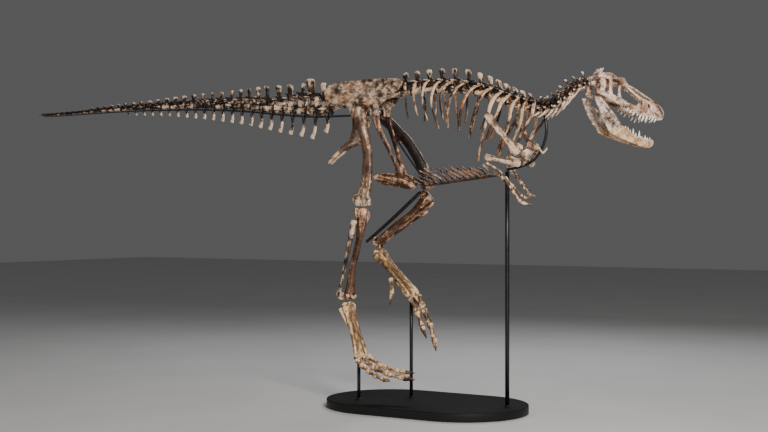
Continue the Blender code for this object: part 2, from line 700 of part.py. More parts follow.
FEMUR = ((-0.055, -0.005, 0.022, 0.026), (0.0, 0.0, 0.042, 0.056), (0.14, 0.022, 0.038, 0.058),
         (0.43, 0.062, 0.036, 0.050), (0.70, 0.044, 0.038, 0.056), (0.88, 0.008, 0.050, 0.066),
         (0.96, -0.006, 0.060, 0.075), (0.995, -0.008, 0.050, 0.060))
TIBIA = ((0.005, 0.0, 0.050, 0.072), (0.05, 0.002, 0.056, 0.080), (0.15, 0.010, 0.040, 0.054),
         (0.34, 0.009, 0.028, 0.032), (0.66, -0.008, 0.028, 0.030), (0.88, 0.0, 0.042, 0.042),
         (0.96, 0.0, 0.060, 0.060), (0.995, 0.0, 0.052, 0.056))
FIBULA = ((0.0, 0.0, 0.013, 0.036), (0.06, 0.0, 0.014, 0.036), (0.22, 0.0, 0.0125, 0.027),
          (0.50, 0.0, 0.0115, 0.021), (0.92, 0.0, 0.0115, 0.020), (1.0, 0.0, 0.016, 0.032))
METATARSAL_LEAN = 0.012
METATARSAL = ((0.0, METATARSAL_LEAN, 0.028, 0.066), (0.10, METATARSAL_LEAN, 0.025, 0.056),
              (0.28, METATARSAL_LEAN, 0.019, 0.035), (0.50, METATARSAL_LEAN, 0.019, 0.031),
              (0.90, 0.006, 0.026, 0.037), (1.0, 0.0, 0.021, 0.030))
TARSUS = ((-0.060, 0.010, 0.036), (-0.040, 0.016, 0.052), (0.040, 0.016, 0.052), (0.060, 0.010, 0.036))
TARSUS_RISE = 0.014
SPLINT = ((0.02, 0.0, 0.012, 0.022), (0.20, 0.0, 0.010, 0.013), (0.38, 0.0, 0.006, 0.008))
SPLINT_BACK = 0.043
TOE_DEPTH = 1.22


def toe(path, bones, thick, claw, sides=5):
    """A digit: knuckles along a smooth path, deeper than wide, then a curved claw to a point."""
    stretch = (1.0 - claw) / bones
    rows = []
    fine = course(path, 60)
    for number in range(bones):
        size = thick * blend(number / max(bones, 1), 1.0, 0.72)
        for share, fat in ((0.06, 1.0), (0.60, 0.66)):
            at = (number + share) * stretch
            rows.append((*fine[round(at * 59)], size * fat, size * fat * TOE_DEPTH))
    last = thick * 0.62
    for share, fat in ((1.0 - claw, 1.05), (1.0 - claw * 0.45, 0.75), (1.0, 0.12)):
        rows.append((*fine[round(share * 59)], last * fat, last * fat * TOE_DEPTH * 1.15))
    return limb(rows, sides)


def make_leg(side, hand, marks):
    hip, knee = marks["hip"], marks["knee"]
    head = limb(((hip.x, hip.y, hip.z - 0.002, 0.034, 0.034),
                 (hip.x, hip.y - hand * 0.035, hip.z + 0.004, 0.042, 0.042),
                 (hip.x, hip.y - hand * 0.062, hip.z + 0.004, 0.030, 0.030)), 6, across=UP)
    piece("femur_" + side, [shaft(hip, knee, FEMUR, 6), head], WARM_BONE)
    piece("tibia_" + side, [shaft(marks["shin"], marks["ankle"], TIBIA, 6)], WARM_BONE)
    piece("fibula_" + side, [shaft(marks["fibula_top"], marks["fibula_end"], FIBULA, 5)], WARM_BONE)
    top, end = marks["instep"], marks["ball"]
    across, rise = marks["across"], (top - end).normalized()
    back = rise.cross(across).normalized()
    shells = []
    for spread_top, spread, drop in ((0.024, 0.050, 0.012), (0.0, 0.0, 0.0), (-0.026, -0.054, 0.014)):
        start = top + across * spread_top
        stop = end + across * spread + rise * drop
        shells.append(shaft(start, stop, METATARSAL, 5, across))
    tarsus = [(*(top + across * out + rise * TARSUS_RISE), half, deep) for out, half, deep in TARSUS]
    shells.append(limb(tarsus, 6, across=rise))
    behind = top + across * (hand * 0.046) + back * SPLINT_BACK
    shells.append(shaft(behind, behind + (end - top) - back * 0.06, SPLINT, 4, across))
    piece("metatarsus_" + side, shells, PALE_BONE)
    for name, bones, thick, claw, path in marks["toes"]:
        piece(f"toe_{name}_{side}", [toe(path, bones, thick, claw)], PALE_BONE)


def make_legs():
    make_leg("right", -1, {
        "hip": Vector((HIP.x, -0.172, HIP.z)), "knee": Vector((-0.508, -0.190, 1.728)),
        "shin": Vector((-0.515, -0.190, 1.714)), "ankle": Vector((-0.658, -0.200, 0.930)),
        "fibula_top": Vector((-0.556, -0.266, 1.610)), "fibula_end": Vector((-0.710, -0.284, 0.945)),
        "instep": Vector((-0.672, -0.210, 0.872)), "ball": Vector((-0.505, -0.236, 0.450)),
        "across": Vector((0.0, 1.0, 0.0)),
        "toes": (
            ("2", 2, 0.026, 0.30, ((-0.462, -0.172, 0.434), (-0.305, -0.165, 0.355),
                                   (-0.166, -0.164, 0.330), (-0.014, -0.162, 0.322))),
            ("3", 3, 0.031, 0.22, ((-0.472, -0.239, 0.414), (-0.345, -0.240, 0.346),
                                   (-0.179, -0.240, 0.302), (0.029, -0.240, 0.276))),
            ("4", 4, 0.027, 0.20, ((-0.490, -0.304, 0.412), (-0.392, -0.314, 0.338),
                                   (-0.283, -0.320, 0.290), (-0.163, -0.322, 0.262))),
            ("1", 1, 0.022, 0.48, ((-0.545, -0.140, 0.500), (-0.592, -0.142, 0.458),
                                   (-0.640, -0.146, 0.400)))),
    })
    make_leg("left", 1, {
        "hip": Vector((HIP.x, 0.172, HIP.z)), "knee": Vector((-0.047, 0.200, 1.897)),
        "shin": Vector((-0.076, 0.205, 1.825)), "ankle": Vector((-0.618, 0.185, 1.395)),
        "fibula_top": Vector((-0.150, 0.277, 1.712)), "fibula_end": Vector((-0.622, 0.266, 1.388)),
        "instep": Vector((-0.582, 0.166, 1.310)), "ball": Vector((-0.190, 0.095, 0.972)),
        "across": Vector((0.17, 0.98, 0.0)),
        "toes": (
            ("2", 2, 0.029, 0.30, ((-0.154, 0.024, 0.936), (-0.100, 0.024, 0.828),
                                   (-0.050, 0.022, 0.70), (-0.004, 0.020, 0.600))),
            ("3", 3, 0.031, 0.22, ((-0.152, 0.092, 0.934), (-0.045, 0.090, 0.79),
                                   (0.020, 0.085, 0.64), (0.056, 0.078, 0.490))),
            ("4", 4, 0.027, 0.20, ((-0.158, 0.160, 0.940), (-0.092, 0.162, 0.79),
                                   (-0.034, 0.160, 0.655), (0.015, 0.152, 0.535))),
            ("1", 1, 0.021, 0.42, ((-0.372, 0.036, 1.112), (-0.362, 0.040, 1.00),
                                   (-0.394, 0.050, 0.870)))),
    })


# ---------------------------------------------------------------- the arms

# The shoulder blades and the coracoid plates in front of them: x, distance from the midplane, z,
# half breadth and half thickness. The left one stands a little further back than the right.
BLADES = {
    "right": ((0.690, 0.224, 2.478, 0.026, 0.006), (0.715, 0.228, 2.452, 0.031, 0.007),
              (0.80, 0.232, 2.352, 0.025, 0.008), (0.875, 0.224, 2.264, 0.026, 0.009),
              (0.927, 0.206, 2.208, 0.047, 0.012), (0.952, 0.193, 2.174, 0.064, 0.013),
              (0.964, 0.186, 2.160, 0.050, 0.011)),
    "left": ((0.735, 0.224, 2.455, 0.026, 0.006), (0.757, 0.228, 2.430, 0.031, 0.007),
             (0.815, 0.232, 2.345, 0.025, 0.008), (0.865, 0.224, 2.270, 0.029, 0.009),
             (0.900, 0.206, 2.222, 0.052, 0.012), (0.920, 0.193, 2.196, 0.060, 0.013),
             (0.932, 0.186, 2.182, 0.048, 0.011))}
CORACOIDS = {
    "right": ((0.945, 0.186, 2.174, 0.026, 0.009), (0.985, 0.174, 2.150, 0.030, 0.008),
              (1.016, 0.148, 2.138, 0.086, 0.009), (1.012, 0.105, 2.132, 0.102, 0.009),
              (0.996, 0.062, 2.124, 0.086, 0.007)),
    "left": ((0.913, 0.186, 2.194, 0.026, 0.009), (0.945, 0.174, 2.166, 0.030, 0.008),
             (0.970, 0.148, 2.146, 0.080, 0.009), (0.986, 0.105, 2.136, 0.098, 0.009),
             (0.986, 0.062, 2.126, 0.084, 0.007))}
CORACOID_BREADTH = Vector((0.60, 0.0, 0.80))
HUMERUS = ((0.0, 0.0, 0.022, 0.028), (0.06, 0.0, 0.027, 0.034), (0.28, 0.0, 0.021, 0.031),
           (0.6, 0.0, 0.017, 0.022), (0.9, 0.0, 0.025, 0.029), (1.0, 0.0, 0.019, 0.020))
RADIUS = ((0.0, 0.0, 0.016, 0.015), (0.5, 0.009, 0.012, 0.012), (1.0, 0.0, 0.016, 0.014))
ULNA = ((0.0, 0.0, 0.017, 0.018), (0.2, -0.004, 0.015, 0.016), (0.5, -0.009, 0.012, 0.013),
        (1.0, 0.0, 0.015, 0.014))
BLADE_BREADTH = Vector((0.76, 0.0, 0.65))
ELBOW_SHIFT = 0.3
LEFT_HAND_SIZE = 0.80
FURCULA_X = 1.090
FURCULA_REACH = 0.080


# A finger's line from the wrist to the tip of its claw, forward and up
FINGER = ((0.020, -0.012), (0.064, -0.076), (0.118, -0.148), (0.172, -0.212),
          (0.225, -0.230), (0.270, -0.232))


def make_finger(wrist, side_shift, inward, size, turn):
    """A finger, from the wrist: smaller by size, turned up by turn."""
    path = []
    for forward, up in FINGER:
        ahead = (forward * math.cos(turn) - up * math.sin(turn)) * size
        rise = (up * math.cos(turn) + forward * math.sin(turn)) * size
        path.append(tuple(wrist + Vector((ahead, side_shift + inward * forward, rise))))
    return toe(path, 2, 0.0165 * size, 0.30, 4)


def make_arm(side, hand, shift, hand_shift, hand_size):
    def at(x, y, z):
        return Vector((x, hand * y, z))

    blade = limb(course(on_side(BLADES[side], hand), 10), 6, across=BLADE_BREADTH)
    coracoid = limb(on_side(CORACOIDS[side], hand), 6, across=CORACOID_BREADTH)
    piece("shoulder_" + side, [blade, coracoid], WARM_BONE)
    humerus = shaft(at(0.985, 0.214, 2.070) + shift, at(0.678, 0.225, 2.130) + shift * ELBOW_SHIFT, HUMERUS)
    piece("humerus_" + side, [humerus], WARM_BONE)
    elbow = at(0.672, 0.222, 2.068)
    wrist = at(0.806, 0.195, 1.984) + hand_shift
    radius = shaft(elbow + Vector((0.020, 0.0, 0.006)), wrist + Vector((0.010, 0.0, 0.008)), RADIUS, 5)
    ulna = shaft(elbow + Vector((-0.004, 0.0, 0.002)), wrist + Vector((-0.007, 0.0, -0.007)), ULNA, 5)
    piece("forearm_" + side, [radius, ulna], WARM_BONE)
    wrist = wrist + Vector((0.008, 0.0, -0.010))
    carpus = limb([(*(wrist + Vector((x, 0.0, z))), size) for x, z, size in
                   ((0.008, -0.006, 0.014), (0.018, -0.022, 0.022), (0.030, -0.040, 0.016))])
    fingers = [make_finger(wrist, hand * 0.012, -hand * 0.13, hand_size, 0.0),
               make_finger(wrist, hand * -0.018, -hand * 0.26, hand_size * 0.86, 0.10)]
    piece("hand_" + side, [carpus] + fingers, PALE_BONE)


def make_arms():
    make_arm("right", -1, Vector((0.0, 0.0, 0.0)), Vector((0.0, 0.0, 0.0)), 1.0)
    make_arm("left", 1, Vector((-0.072, 0.0, 0.012)), Vector((-0.066, -0.012, 0.030)), LEFT_HAND_SIZE)
    wishbone = []
    for y in (-FURCULA_REACH, -FURCULA_REACH / 2, 0.0, FURCULA_REACH / 2, FURCULA_REACH):
        z = 2.160 + 0.042 * (abs(y) / FURCULA_REACH)**1.3
        wishbone.append((FURCULA_X, y, z, 0.007))
    piece("furcula", [limb(wishbone, 5, across=UP)], WARM_BONE)


# ---------------------------------------------------------------- the belly ribs

GASTRALIA_ROWS = 12
GASTRALIA_REAR_X = 0.0
GASTRALIA_FRONT_X = 0.620
GASTRALIA_THICK = 0.0062
KEEL_REAR_Z = 1.905
KEEL_FRONT_Z = 1.975


def make_gastralia():
    """Slender rods out and up from the belly's middle line, each hooked over the next one's root."""
    pitch = (GASTRALIA_FRONT_X - GASTRALIA_REAR_X) / (GASTRALIA_ROWS - 1)
    for side, hand in (("left", 1), ("right", -1)):
        rods = []
        for number in range(GASTRALIA_ROWS):
            x = GASTRALIA_REAR_X + pitch * number
            share = number / (GASTRALIA_ROWS - 1)
            keel = blend(share, KEEL_REAR_Z, KEEL_FRONT_Z)
            reach = between(share, (0.0, 0.08), (0.3, 0.14), (0.7, 0.15), (1.0, 0.11))
            lift = between(share, (0.0, 0.08), (0.3, 0.125), (0.7, 0.125), (1.0, 0.09))
            rods.append(limb(((x + pitch * 1.12, hand * 0.010, keel + 0.007, GASTRALIA_THICK),
                              (x, hand * 0.014, keel + 0.005, GASTRALIA_THICK),
                              (x - 0.075, hand * reach * 0.5, keel + lift * 0.44, GASTRALIA_THICK),
                              (x - 0.17, hand * reach, keel + lift, GASTRALIA_THICK * 0.7)), 3))
        piece("gastralia_" + side, rods, DARK_BONE)


# ---------------------------------------------------------------- the head

class Head:
    """Axes of a piece of the head: s forward along it, w to the animal's left, h up."""

    def __init__(self, origin, pitch):
        self.origin = origin
        self.forward = Vector((math.cos(HEAD_YAW) * math.cos(pitch),
                               math.sin(HEAD_YAW) * math.cos(pitch), -math.sin(pitch)))
        self.left = Vector((-math.sin(HEAD_YAW), math.cos(HEAD_YAW), 0.0))
        self.up = self.forward.cross(self.left)

    def at(self, s, w, h):
        return self.origin + self.forward * s + self.left * w + self.up * h

    def through(self, outline, half_width):
        """A cutter or a bar across the head: an outline in s and h, from one side to the other."""
        return slab(outline, lambda u, v, w: self.at(u, w, v), half_width)


def oval(s, h, half_s, half_h, lean=0.0, sides=8):
    points = []
    for k in range(sides):
        a = 2 * math.pi * (k + 0.5) / sides
        u, v = half_s * math.cos(a), half_h * math.sin(a)
        points.append((s + u * math.cos(lean) - v * math.sin(lean),
                       h + u * math.sin(lean) + v * math.cos(lean)))
    return points


# Rows of the skull: s, floor, roof, half width at the floor, half width at the roof
SKULL = ((-0.045, -0.060, 0.100, 0.108, 0.060), (0.000, -0.088, 0.124, 0.126, 0.088),
         (0.075, -0.088, 0.138, 0.126, 0.094), (0.150, -0.092, 0.130, 0.114, 0.076),
         (0.235, -0.086, 0.110, 0.098, 0.046), (0.330, -0.094, 0.102, 0.082, 0.036),
         (0.450, -0.094, 0.081, 0.066, 0.030), (0.560, -0.062, 0.067, 0.050, 0.026),
         (0.620, -0.044, 0.046, 0.032, 0.018), (0.654, -0.030, 0.006, 0.014, 0.008))
SKULL_WALL = 0.020


def skull_ring(head, row, wall=0.0):
    s, floor, roof, wide, narrow = row
    if wall:
        floor, roof, wide, narrow = floor - 0.05, roof - wall, wide - wall, narrow - wall * 0.8
    shoulder = floor + (roof - floor) * 0.80
    half = [(wide, floor), (wide, floor + (roof - floor) * 0.35), (narrow * 1.12, shoulder),
            (narrow * 0.55, roof)]
    return [head.at(s, w, h) for w, h in half] + [head.at(s, -w, h) for w, h in reversed(half)]


def tooth(head, s, w, h, length, pitch_s, lean=0.0):
    """A blade-shaped tooth, hanging down from the jaw's edge if its length is negative."""
    root = math.copysign(0.014, length)
    rings = []
    for rise, size in ((-root, 1.0), (length, 0.16)):
        back = -lean * rise
        rings.append([head.at(s + back + pitch_s * size * a, w + 0.0060 * size * b, h + rise)
                      for a, b in ((-1, 0), (0.3, -1), (0.3, 1))])
    return skin(rings)


# Openings of the skull's side, in s and h
ANTORBITAL = ((0.190, 0.070), (0.171, 0.034), (0.184, -0.028), (0.255, -0.037), (0.332, -0.038),
              (0.394, -0.010), (0.366, 0.022), (0.258, 0.062))
ORBIT = ((0.080, 0.064), (0.081, 0.000), (0.102, -0.036), (0.147, -0.026), (0.140, 0.030),
         (0.124, 0.086))
TEMPORAL = oval(0.030, -0.004, 0.025, 0.052, 0.25)
MAXILLARY = oval(0.454, 0.006, 0.016, 0.015, 0.0, 6)
NARIS = oval(0.583, 0.030, 0.042, 0.013, -0.50, 6)
BRAINCASE_HALF = 0.060

# Teeth: s and length out of the jaw
UPPER_TEETH = ((0.286, 0.024), (0.320, 0.034), (0.354, 0.040), (0.388, 0.036), (0.420, 0.050),
               (0.452, 0.052), (0.485, 0.048), (0.515, 0.040), (0.546, 0.044), (0.577, 0.040),
               (0.608, 0.024))
LOWER_TEETH = ((0.365, 0.022), (0.402, 0.028), (0.438, 0.034), (0.470, 0.034), (0.502, 0.040),
               (0.533, 0.030), (0.563, 0.028), (0.594, 0.022), (0.622, 0.018))
LOWER_LEAN = 0.55


def make_skull():
    head = Head(HEAD_AT, SKULL_PITCH)
    shells = [skin([skull_ring(head, row) for row in SKULL])]
    corners = ((-0.050, -1), (-0.022, -1), (-0.022, 1), (-0.050, 1))
    crest = [[head.at(s, half * side, h) for s, side in corners]
             for half, h in ((0.060, 0.075), (0.040, 0.156))]
    shells.append(skin(crest))
    rows = np.array(SKULL)
    for s, long in UPPER_TEETH:
        edge = float(np.interp(s, rows[:, 0], rows[:, 1]))
        wide = float(np.interp(s, rows[:, 0], rows[:, 3]))
        for hand in (-1, 1):
            shells.append(tooth(head, s, hand * (wide - 0.009), edge, -long, 0.0105))
    inner = [row for row in SKULL if 0.1 < row[0] < 0.57]
    inner = [(0.095, *inner[0][1:])] + inner[1:]
    cuts = [skin([skull_ring(head, row, SKULL_WALL) for row in inner])]
    cuts += [head.through(opening, 0.2) for opening in (ANTORBITAL, ORBIT, MAXILLARY, NARIS)]
    for hand in (-1, 1):
        cuts.append(skin([[head.at(s, hand * w, h) for s, h in TEMPORAL] for w in (BRAINCASE_HALF, 0.20)]))
    piece("skull", shells, WARM_BONE, cuts)


# Rows of the lower jaw: s, lower edge, upper edge, distance out of its middle line
JAW = ((-0.030, -0.022, 0.004, 0.108), (0.030, -0.050, 0.032, 0.112), (0.100, -0.086, 0.016, 0.108),
       (0.170, -0.114, 0.008, 0.101), (0.240, -0.138, -0.006, 0.093), (0.320, -0.122, -0.010, 0.080),
       (0.430, -0.080, 0.004, 0.060), (0.510, -0.050, 0.022, 0.046), (0.575, -0.022, 0.058, 0.034),
       (0.632, 0.012, 0.082, 0.020), (0.662, 0.056, 0.086, 0.010))


def make_jaw():
    head = Head(JAW_AT, JAW_PITCH)
    shells = []
    for hand in (-1, 1):
        rings = []
        for s, low, high, out in JAW:
            mid, half, thick = (low + high) / 2, (high - low) / 2, 0.012
            rings.append([head.at(s, hand * out + thick * b, mid + half * a) for a, b in
                          ((-1, 0.0), (-0.3, 1.0), (1, 0.8), (1, -0.8), (-0.3, -1.0))])
        shells.append(skin(rings))
    rows = np.array(JAW)
    for s, long in LOWER_TEETH:
        edge = float(np.interp(s, rows[:, 0], rows[:, 2]))
        out = float(np.interp(s, rows[:, 0], rows[:, 3]))
        for hand in (-1, 1):
            shells.append(tooth(head, s, hand * out, edge, long, 0.0100, LOWER_LEAN))
    piece("lower_jaw", shells, WARM_BONE)


make_stand()
make_tail()
make_sacrum()
make_hips()
make_chest()
make_neck()
make_legs()
make_arms()
make_gastralia()
make_skull()
make_jaw()
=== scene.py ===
"""A mounted skeleton of a young tyrannosaur on its steel stand: fossil bone, ivory teeth, black steel.

Metres, +X towards the head along the base, +Y the animal's left, +Z up, as in the solids. Every bone is a
loft: rings of a flattened circle carried along a line, each end closed on a pole. Tables in mm() are in
millimetres.
"""
import math

import bpy
import numpy as np
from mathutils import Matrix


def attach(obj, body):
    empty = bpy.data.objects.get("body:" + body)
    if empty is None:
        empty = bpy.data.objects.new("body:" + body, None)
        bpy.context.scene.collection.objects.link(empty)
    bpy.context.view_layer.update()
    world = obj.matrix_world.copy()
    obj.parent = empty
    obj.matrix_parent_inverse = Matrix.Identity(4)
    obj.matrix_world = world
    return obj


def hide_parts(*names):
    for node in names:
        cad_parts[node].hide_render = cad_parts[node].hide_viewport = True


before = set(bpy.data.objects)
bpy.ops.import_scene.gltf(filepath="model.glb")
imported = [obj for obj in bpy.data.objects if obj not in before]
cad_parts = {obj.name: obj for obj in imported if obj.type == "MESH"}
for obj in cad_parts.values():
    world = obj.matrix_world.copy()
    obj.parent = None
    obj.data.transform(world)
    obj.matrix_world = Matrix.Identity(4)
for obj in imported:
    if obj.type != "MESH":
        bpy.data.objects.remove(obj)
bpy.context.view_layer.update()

AHEAD, LEFT, UP = np.eye(3)


# ---------------------------------------------------------------- camera, light and floor

def add(name, data, at=(0.0, 0.0, 0.0), turn=(0.0, 0.0, 0.0)):
    made = bpy.data.objects.new(name, data)
    made.location, made.rotation_euler = at, turn
    bpy.context.scene.collection.objects.link(made)
    return made


def set_the_camera():
    """A level camera at standing eye height, in front of the animal's right shoulder."""
    lens = bpy.data.cameras.new("camera")
    lens.lens, lens.sensor_width, lens.clip_end = 60.94, 36.0, 100.0
    bpy.context.scene.camera = add("camera", lens, (5.484, -9.672, 1.65),
                                   (math.pi / 2, 0.0, math.radians(31.4)))


def softbox(name, at, size, watts, tint, aim=(-0.8, 0.0, 1.8)):
    light = bpy.data.lights.new(name, "AREA")
    light.shape = "RECTANGLE"
    light.size, light.size_y = size
    light.energy, light.color = watts, tint
    way = np.array(aim) - np.array(at)
    add(name, light, at, (math.acos(-way[2] / np.linalg.norm(way)), 0.0, math.atan2(-way[0], way[1])))


def set_the_studio():
    softbox("key", (6.5, -6.5, 5.2), (2.4, 2.0), 960.0, (1.0, 0.955, 0.895))
    softbox("fill", (-4.5, -7.0, 4.5), (4.0, 3.0), 60.0, (1.0, 0.98, 0.96))
    softbox("rim", (-1.0, 5.5, 6.0), (6.0, 1.6), 260.0, (0.97, 0.98, 1.0))
    world = bpy.data.worlds.new("studio")
    world.use_nodes = True
    backdrop = world.node_tree.nodes["Background"].inputs
    backdrop["Color"].default_value = (0.78, 0.78, 0.79, 1.0)
    backdrop["Strength"].default_value = 0.13
    bpy.context.scene.world = world


# ---------------------------------------------------------------- shader maths

class Wire:
    """One output inside a finish. +, - and * on it add Math nodes; mix() blends two colours by it."""

    def __init__(self, finish, socket):
        self.finish, self.socket = finish, socket

    def ramp(self, low, high):
        """0 below low, 1 above high, smooth between; low may be above high."""
        return self.finish.node("ShaderNodeMapRange", {"interpolation_type": "SMOOTHSTEP"},
                                {"Value": self, "From Min": low, "From Max": high})

    def mix(self, first, second):
        """The first colour where this is 0, the second where it is 1."""
        ends = [value if isinstance(value, Wire) else (*value, 1.0) for value in (first, second)]
        return self.finish.node("ShaderNodeMix", {"data_type": "RGBA"}, {0: self, 6: ends[0], 7: ends[1]},
                                out=2)


def arithmetic(operation, step):
    """A method for Wire: a Math node on itself and another value, the other way round where step is -1."""
    def method(self, other):
        return self.finish.node("ShaderNodeMath", {"operation": operation},
                                dict(enumerate((self, other)[::step])))
    return method


for sign, operation in (("add", "ADD"), ("sub", "SUBTRACT"), ("mul", "MULTIPLY")):
    setattr(Wire, f"__{sign}__", arithmetic(operation, 1))
    setattr(Wire, f"__r{sign}__", arithmetic(operation, -1))


class Finish:
    """A material with a Principled shader, made from expressions on wires."""

    def __init__(self, name):
        self.made = bpy.data.materials.new(name)
        self.made.use_nodes = True
        self.tree = self.made.node_tree
        self.shader = self.tree.nodes["Principled BSDF"]
        self.place = self.node("ShaderNodeTexCoord", out=3)

    def set(self, socket, value):
        """Links a socket to a wire, or gives it a number or a colour."""
        if isinstance(value, Wire):
            self.tree.links.new(value.socket, socket)
        else:
            socket.default_value = value

    def node(self, kind, settings=(), sockets=(), out=0):
        """Any node: its settings first, then each socket's value or link."""
        made = self.tree.nodes.new(kind)
        for key, value in dict(settings).items():
            setattr(made, key, value)
        for key, value in dict(sockets).items():
            self.set(made.inputs[key], value)
        return Wire(self, made.outputs[out])

    def attribute(self, name, out):
        return self.node("ShaderNodeAttribute", {"attribute_name": name}, out=out)

    def stretched(self, vector, scale):
        return self.node("ShaderNodeMapping", {}, {"Vector": vector, "Scale": scale})

    def noise(self, vector, scale, detail=4.0, rough=0.6):
        return self.node("ShaderNodeTexNoise", {},
                         {"Vector": vector, "Scale": scale, "Detail": detail, "Roughness": rough})

    def cracks(self, vector, width):
        """1 along the edges of a cell pattern, 0 inside the cells."""
        return self.node("ShaderNodeTexVoronoi", {"feature": "DISTANCE_TO_EDGE"},
                         {"Vector": vector, "Scale": 1.0}).ramp(width, 0.0)

    def finish(self, colour, roughness, height, depth, strength, shine=0.5):
        self.set(self.shader.inputs["Base Color"], colour)
        self.set(self.shader.inputs["Roughness"], roughness)
        self.set(self.shader.inputs["Specular IOR Level"], shine)
        self.set(self.shader.inputs["Normal"], self.node(
            "ShaderNodeBump", {}, {"Height": height, "Distance": depth, "Strength": strength}))
        return self.made


def fossil(name, shade, body, light, spread, worn=0.7, patch=None, melted=False):
    """Mineralised bone: dark stain in blotches, fibres along the bone, pale worn crests and fine cracks, long
    streaks of painted highlight and painted shade along the bone, and painted shade in its hollows and
    crevices.

    `shade`, `body` and `light` are its three colours; `spread` moves the balance towards the lighter ones;
    `patch` is the colour of filled and repaired places; a `melted` piece has no grain of its own.
    """
    f = Finish(name)
    # The attribute read here holds how worn each point is, together with painted shade in hollows and
    # crevices.
    grain, wear = (f.place, 0.5) if melted else (f.attribute("grain", 1), f.attribute("wear", 2))
    along, cells = ((22, 22, 32), (30, 30, 30)) if melted else ((7, 75, 75), (16, 30, 30))
    fibres = f.noise(f.stretched(grain, along), 1.0, 5.0, 0.65)
    blotch = f.noise(f.place, 9.0, 5.0, 0.62)
    mottle = f.noise(f.place, 46.0)
    speck = f.noise(f.place, 170.0, 3.0)
    # Painted highlight and painted shade: long light and dark streaks along the bone; melted pieces use the
    # blotches for them.
    highlight_and_shade_streaks = blotch if melted else f.noise(f.stretched(grain, (2.6, 20, 20)), 1.0, 2.0, 0.5)
    tone = blotch * 0.50 + fibres * 0.34 + mottle * 0.26 + wear * 0.12 + highlight_and_shade_streaks * 0.55 - 0.365
    base = tone.ramp(0.625 - 0.18 * spread, 0.495 - 0.18 * spread).mix(body, shade)
    if patch is not None:
        base = f.noise(f.place, 5.0, 2.0, 0.4).ramp(0.565, 0.60).mix(base, patch)
    pale = fibres * 0.55 + speck * 0.27 + mottle * 0.28 + wear * worn * 0.50 + highlight_and_shade_streaks * 0.60 - 0.30
    base = pale.ramp(0.715 - 0.07 * spread, 0.90 - 0.06 * spread).mix(base, light)
    crack = f.cracks(f.stretched(grain, cells), 0.035) * mottle.ramp(0.46, 0.60)
    base = (crack * 0.85).mix(base, tuple(0.35 * c for c in shade))
    height = fibres * 0.9 + speck * 0.35 + mottle * 0.8 - crack * 0.9
    return f.finish(base, 0.30 + 0.30 * speck + 0.12 * crack, height, 0.0022, 0.75)


def ivory():
    f = Finish("tooth enamel")
    streak = f.noise(f.stretched(f.attribute("grain", 1), (60, 260, 260)), 1.0, 3.0)
    colour = f.attribute("wear", 2).ramp(0.20, 0.70).mix((0.40, 0.27, 0.15), (0.95, 0.90, 0.79))
    colour = (streak.ramp(0.52, 0.76) * 0.30).mix(colour, (0.50, 0.37, 0.24))
    return f.finish(colour, 0.22 + 0.2 * streak, streak, 0.0004, 0.3)


def black_steel():
    f = Finish("satin black steel")
    cloud = f.noise(f.place, 24.0, 3.0)
    colour = cloud.ramp(0.35, 0.75).mix((0.004, 0.004, 0.0045), (0.010, 0.010, 0.011))
    return f.finish(colour, 0.30 + 0.18 * cloud, f.noise(f.place, 420.0, 2.0), 0.0003, 0.25)


def base_paint():
    """Matte on top, a little glossier on its side, where a painted sheen makes it lighter, with long scuffs.
    """
    f = Finish("matte black paint")
    cloud = f.noise(f.place, 3.2)
    scuff = f.noise(f.stretched(f.place, (3, 22, 22)), 1.0, 5.0).ramp(0.60, 0.74)
    # Painted sheen: the side face below the top gets a lighter colour than the top.
    side = f.node("ShaderNodeSeparateXYZ", {}, {"Vector": f.place}, out=2).ramp(0.072, 0.066)
    top = cloud.ramp(0.35, 0.7).mix((0.0020, 0.0020, 0.0022), (0.0045, 0.0045, 0.0048))
    colour = (scuff * 0.25).mix(side.mix(top, (0.013, 0.013, 0.013)), (0.014, 0.014, 0.014))
    return f.finish(colour, 0.72 - 0.30 * side + 0.16 * cloud, f.noise(f.place, 300.0, 3.0), 0.0004, 0.3,
                    0.16)


def pale_floor():
    f = Finish("pale floor")
    cloud = f.noise(f.place, 0.8, 3.0)
    return f.finish(cloud.ramp(0.3, 0.7).mix((0.60, 0.60, 0.60), (0.64, 0.64, 0.635)), 0.55, cloud, 0.001,
                    0.1)


DARK = fossil("dark bone", (0.008, 0.004, 0.003), (0.075, 0.034, 0.017), (0.88, 0.64, 0.46), 0.25)
RIB = fossil("rib bone", (0.009, 0.004, 0.002), (0.082, 0.034, 0.015), (0.88, 0.59, 0.37), 0.42, 0.52,
             patch=(0.33, 0.13, 0.04))
HIP_BONE = fossil("hip bone", (0.018, 0.009, 0.005), (0.135, 0.074, 0.043), (0.74, 0.54, 0.38), 0.70,
                  patch=(0.36, 0.150, 0.050), melted=True)
LEG = fossil("leg bone", (0.010, 0.005, 0.003), (0.120, 0.058, 0.029), (0.92, 0.67, 0.47), 1.00, 0.52)
SHIN = fossil("shin bone", (0.010, 0.004, 0.003), (0.098, 0.038, 0.017), (0.88, 0.57, 0.38), 0.95, 0.50)
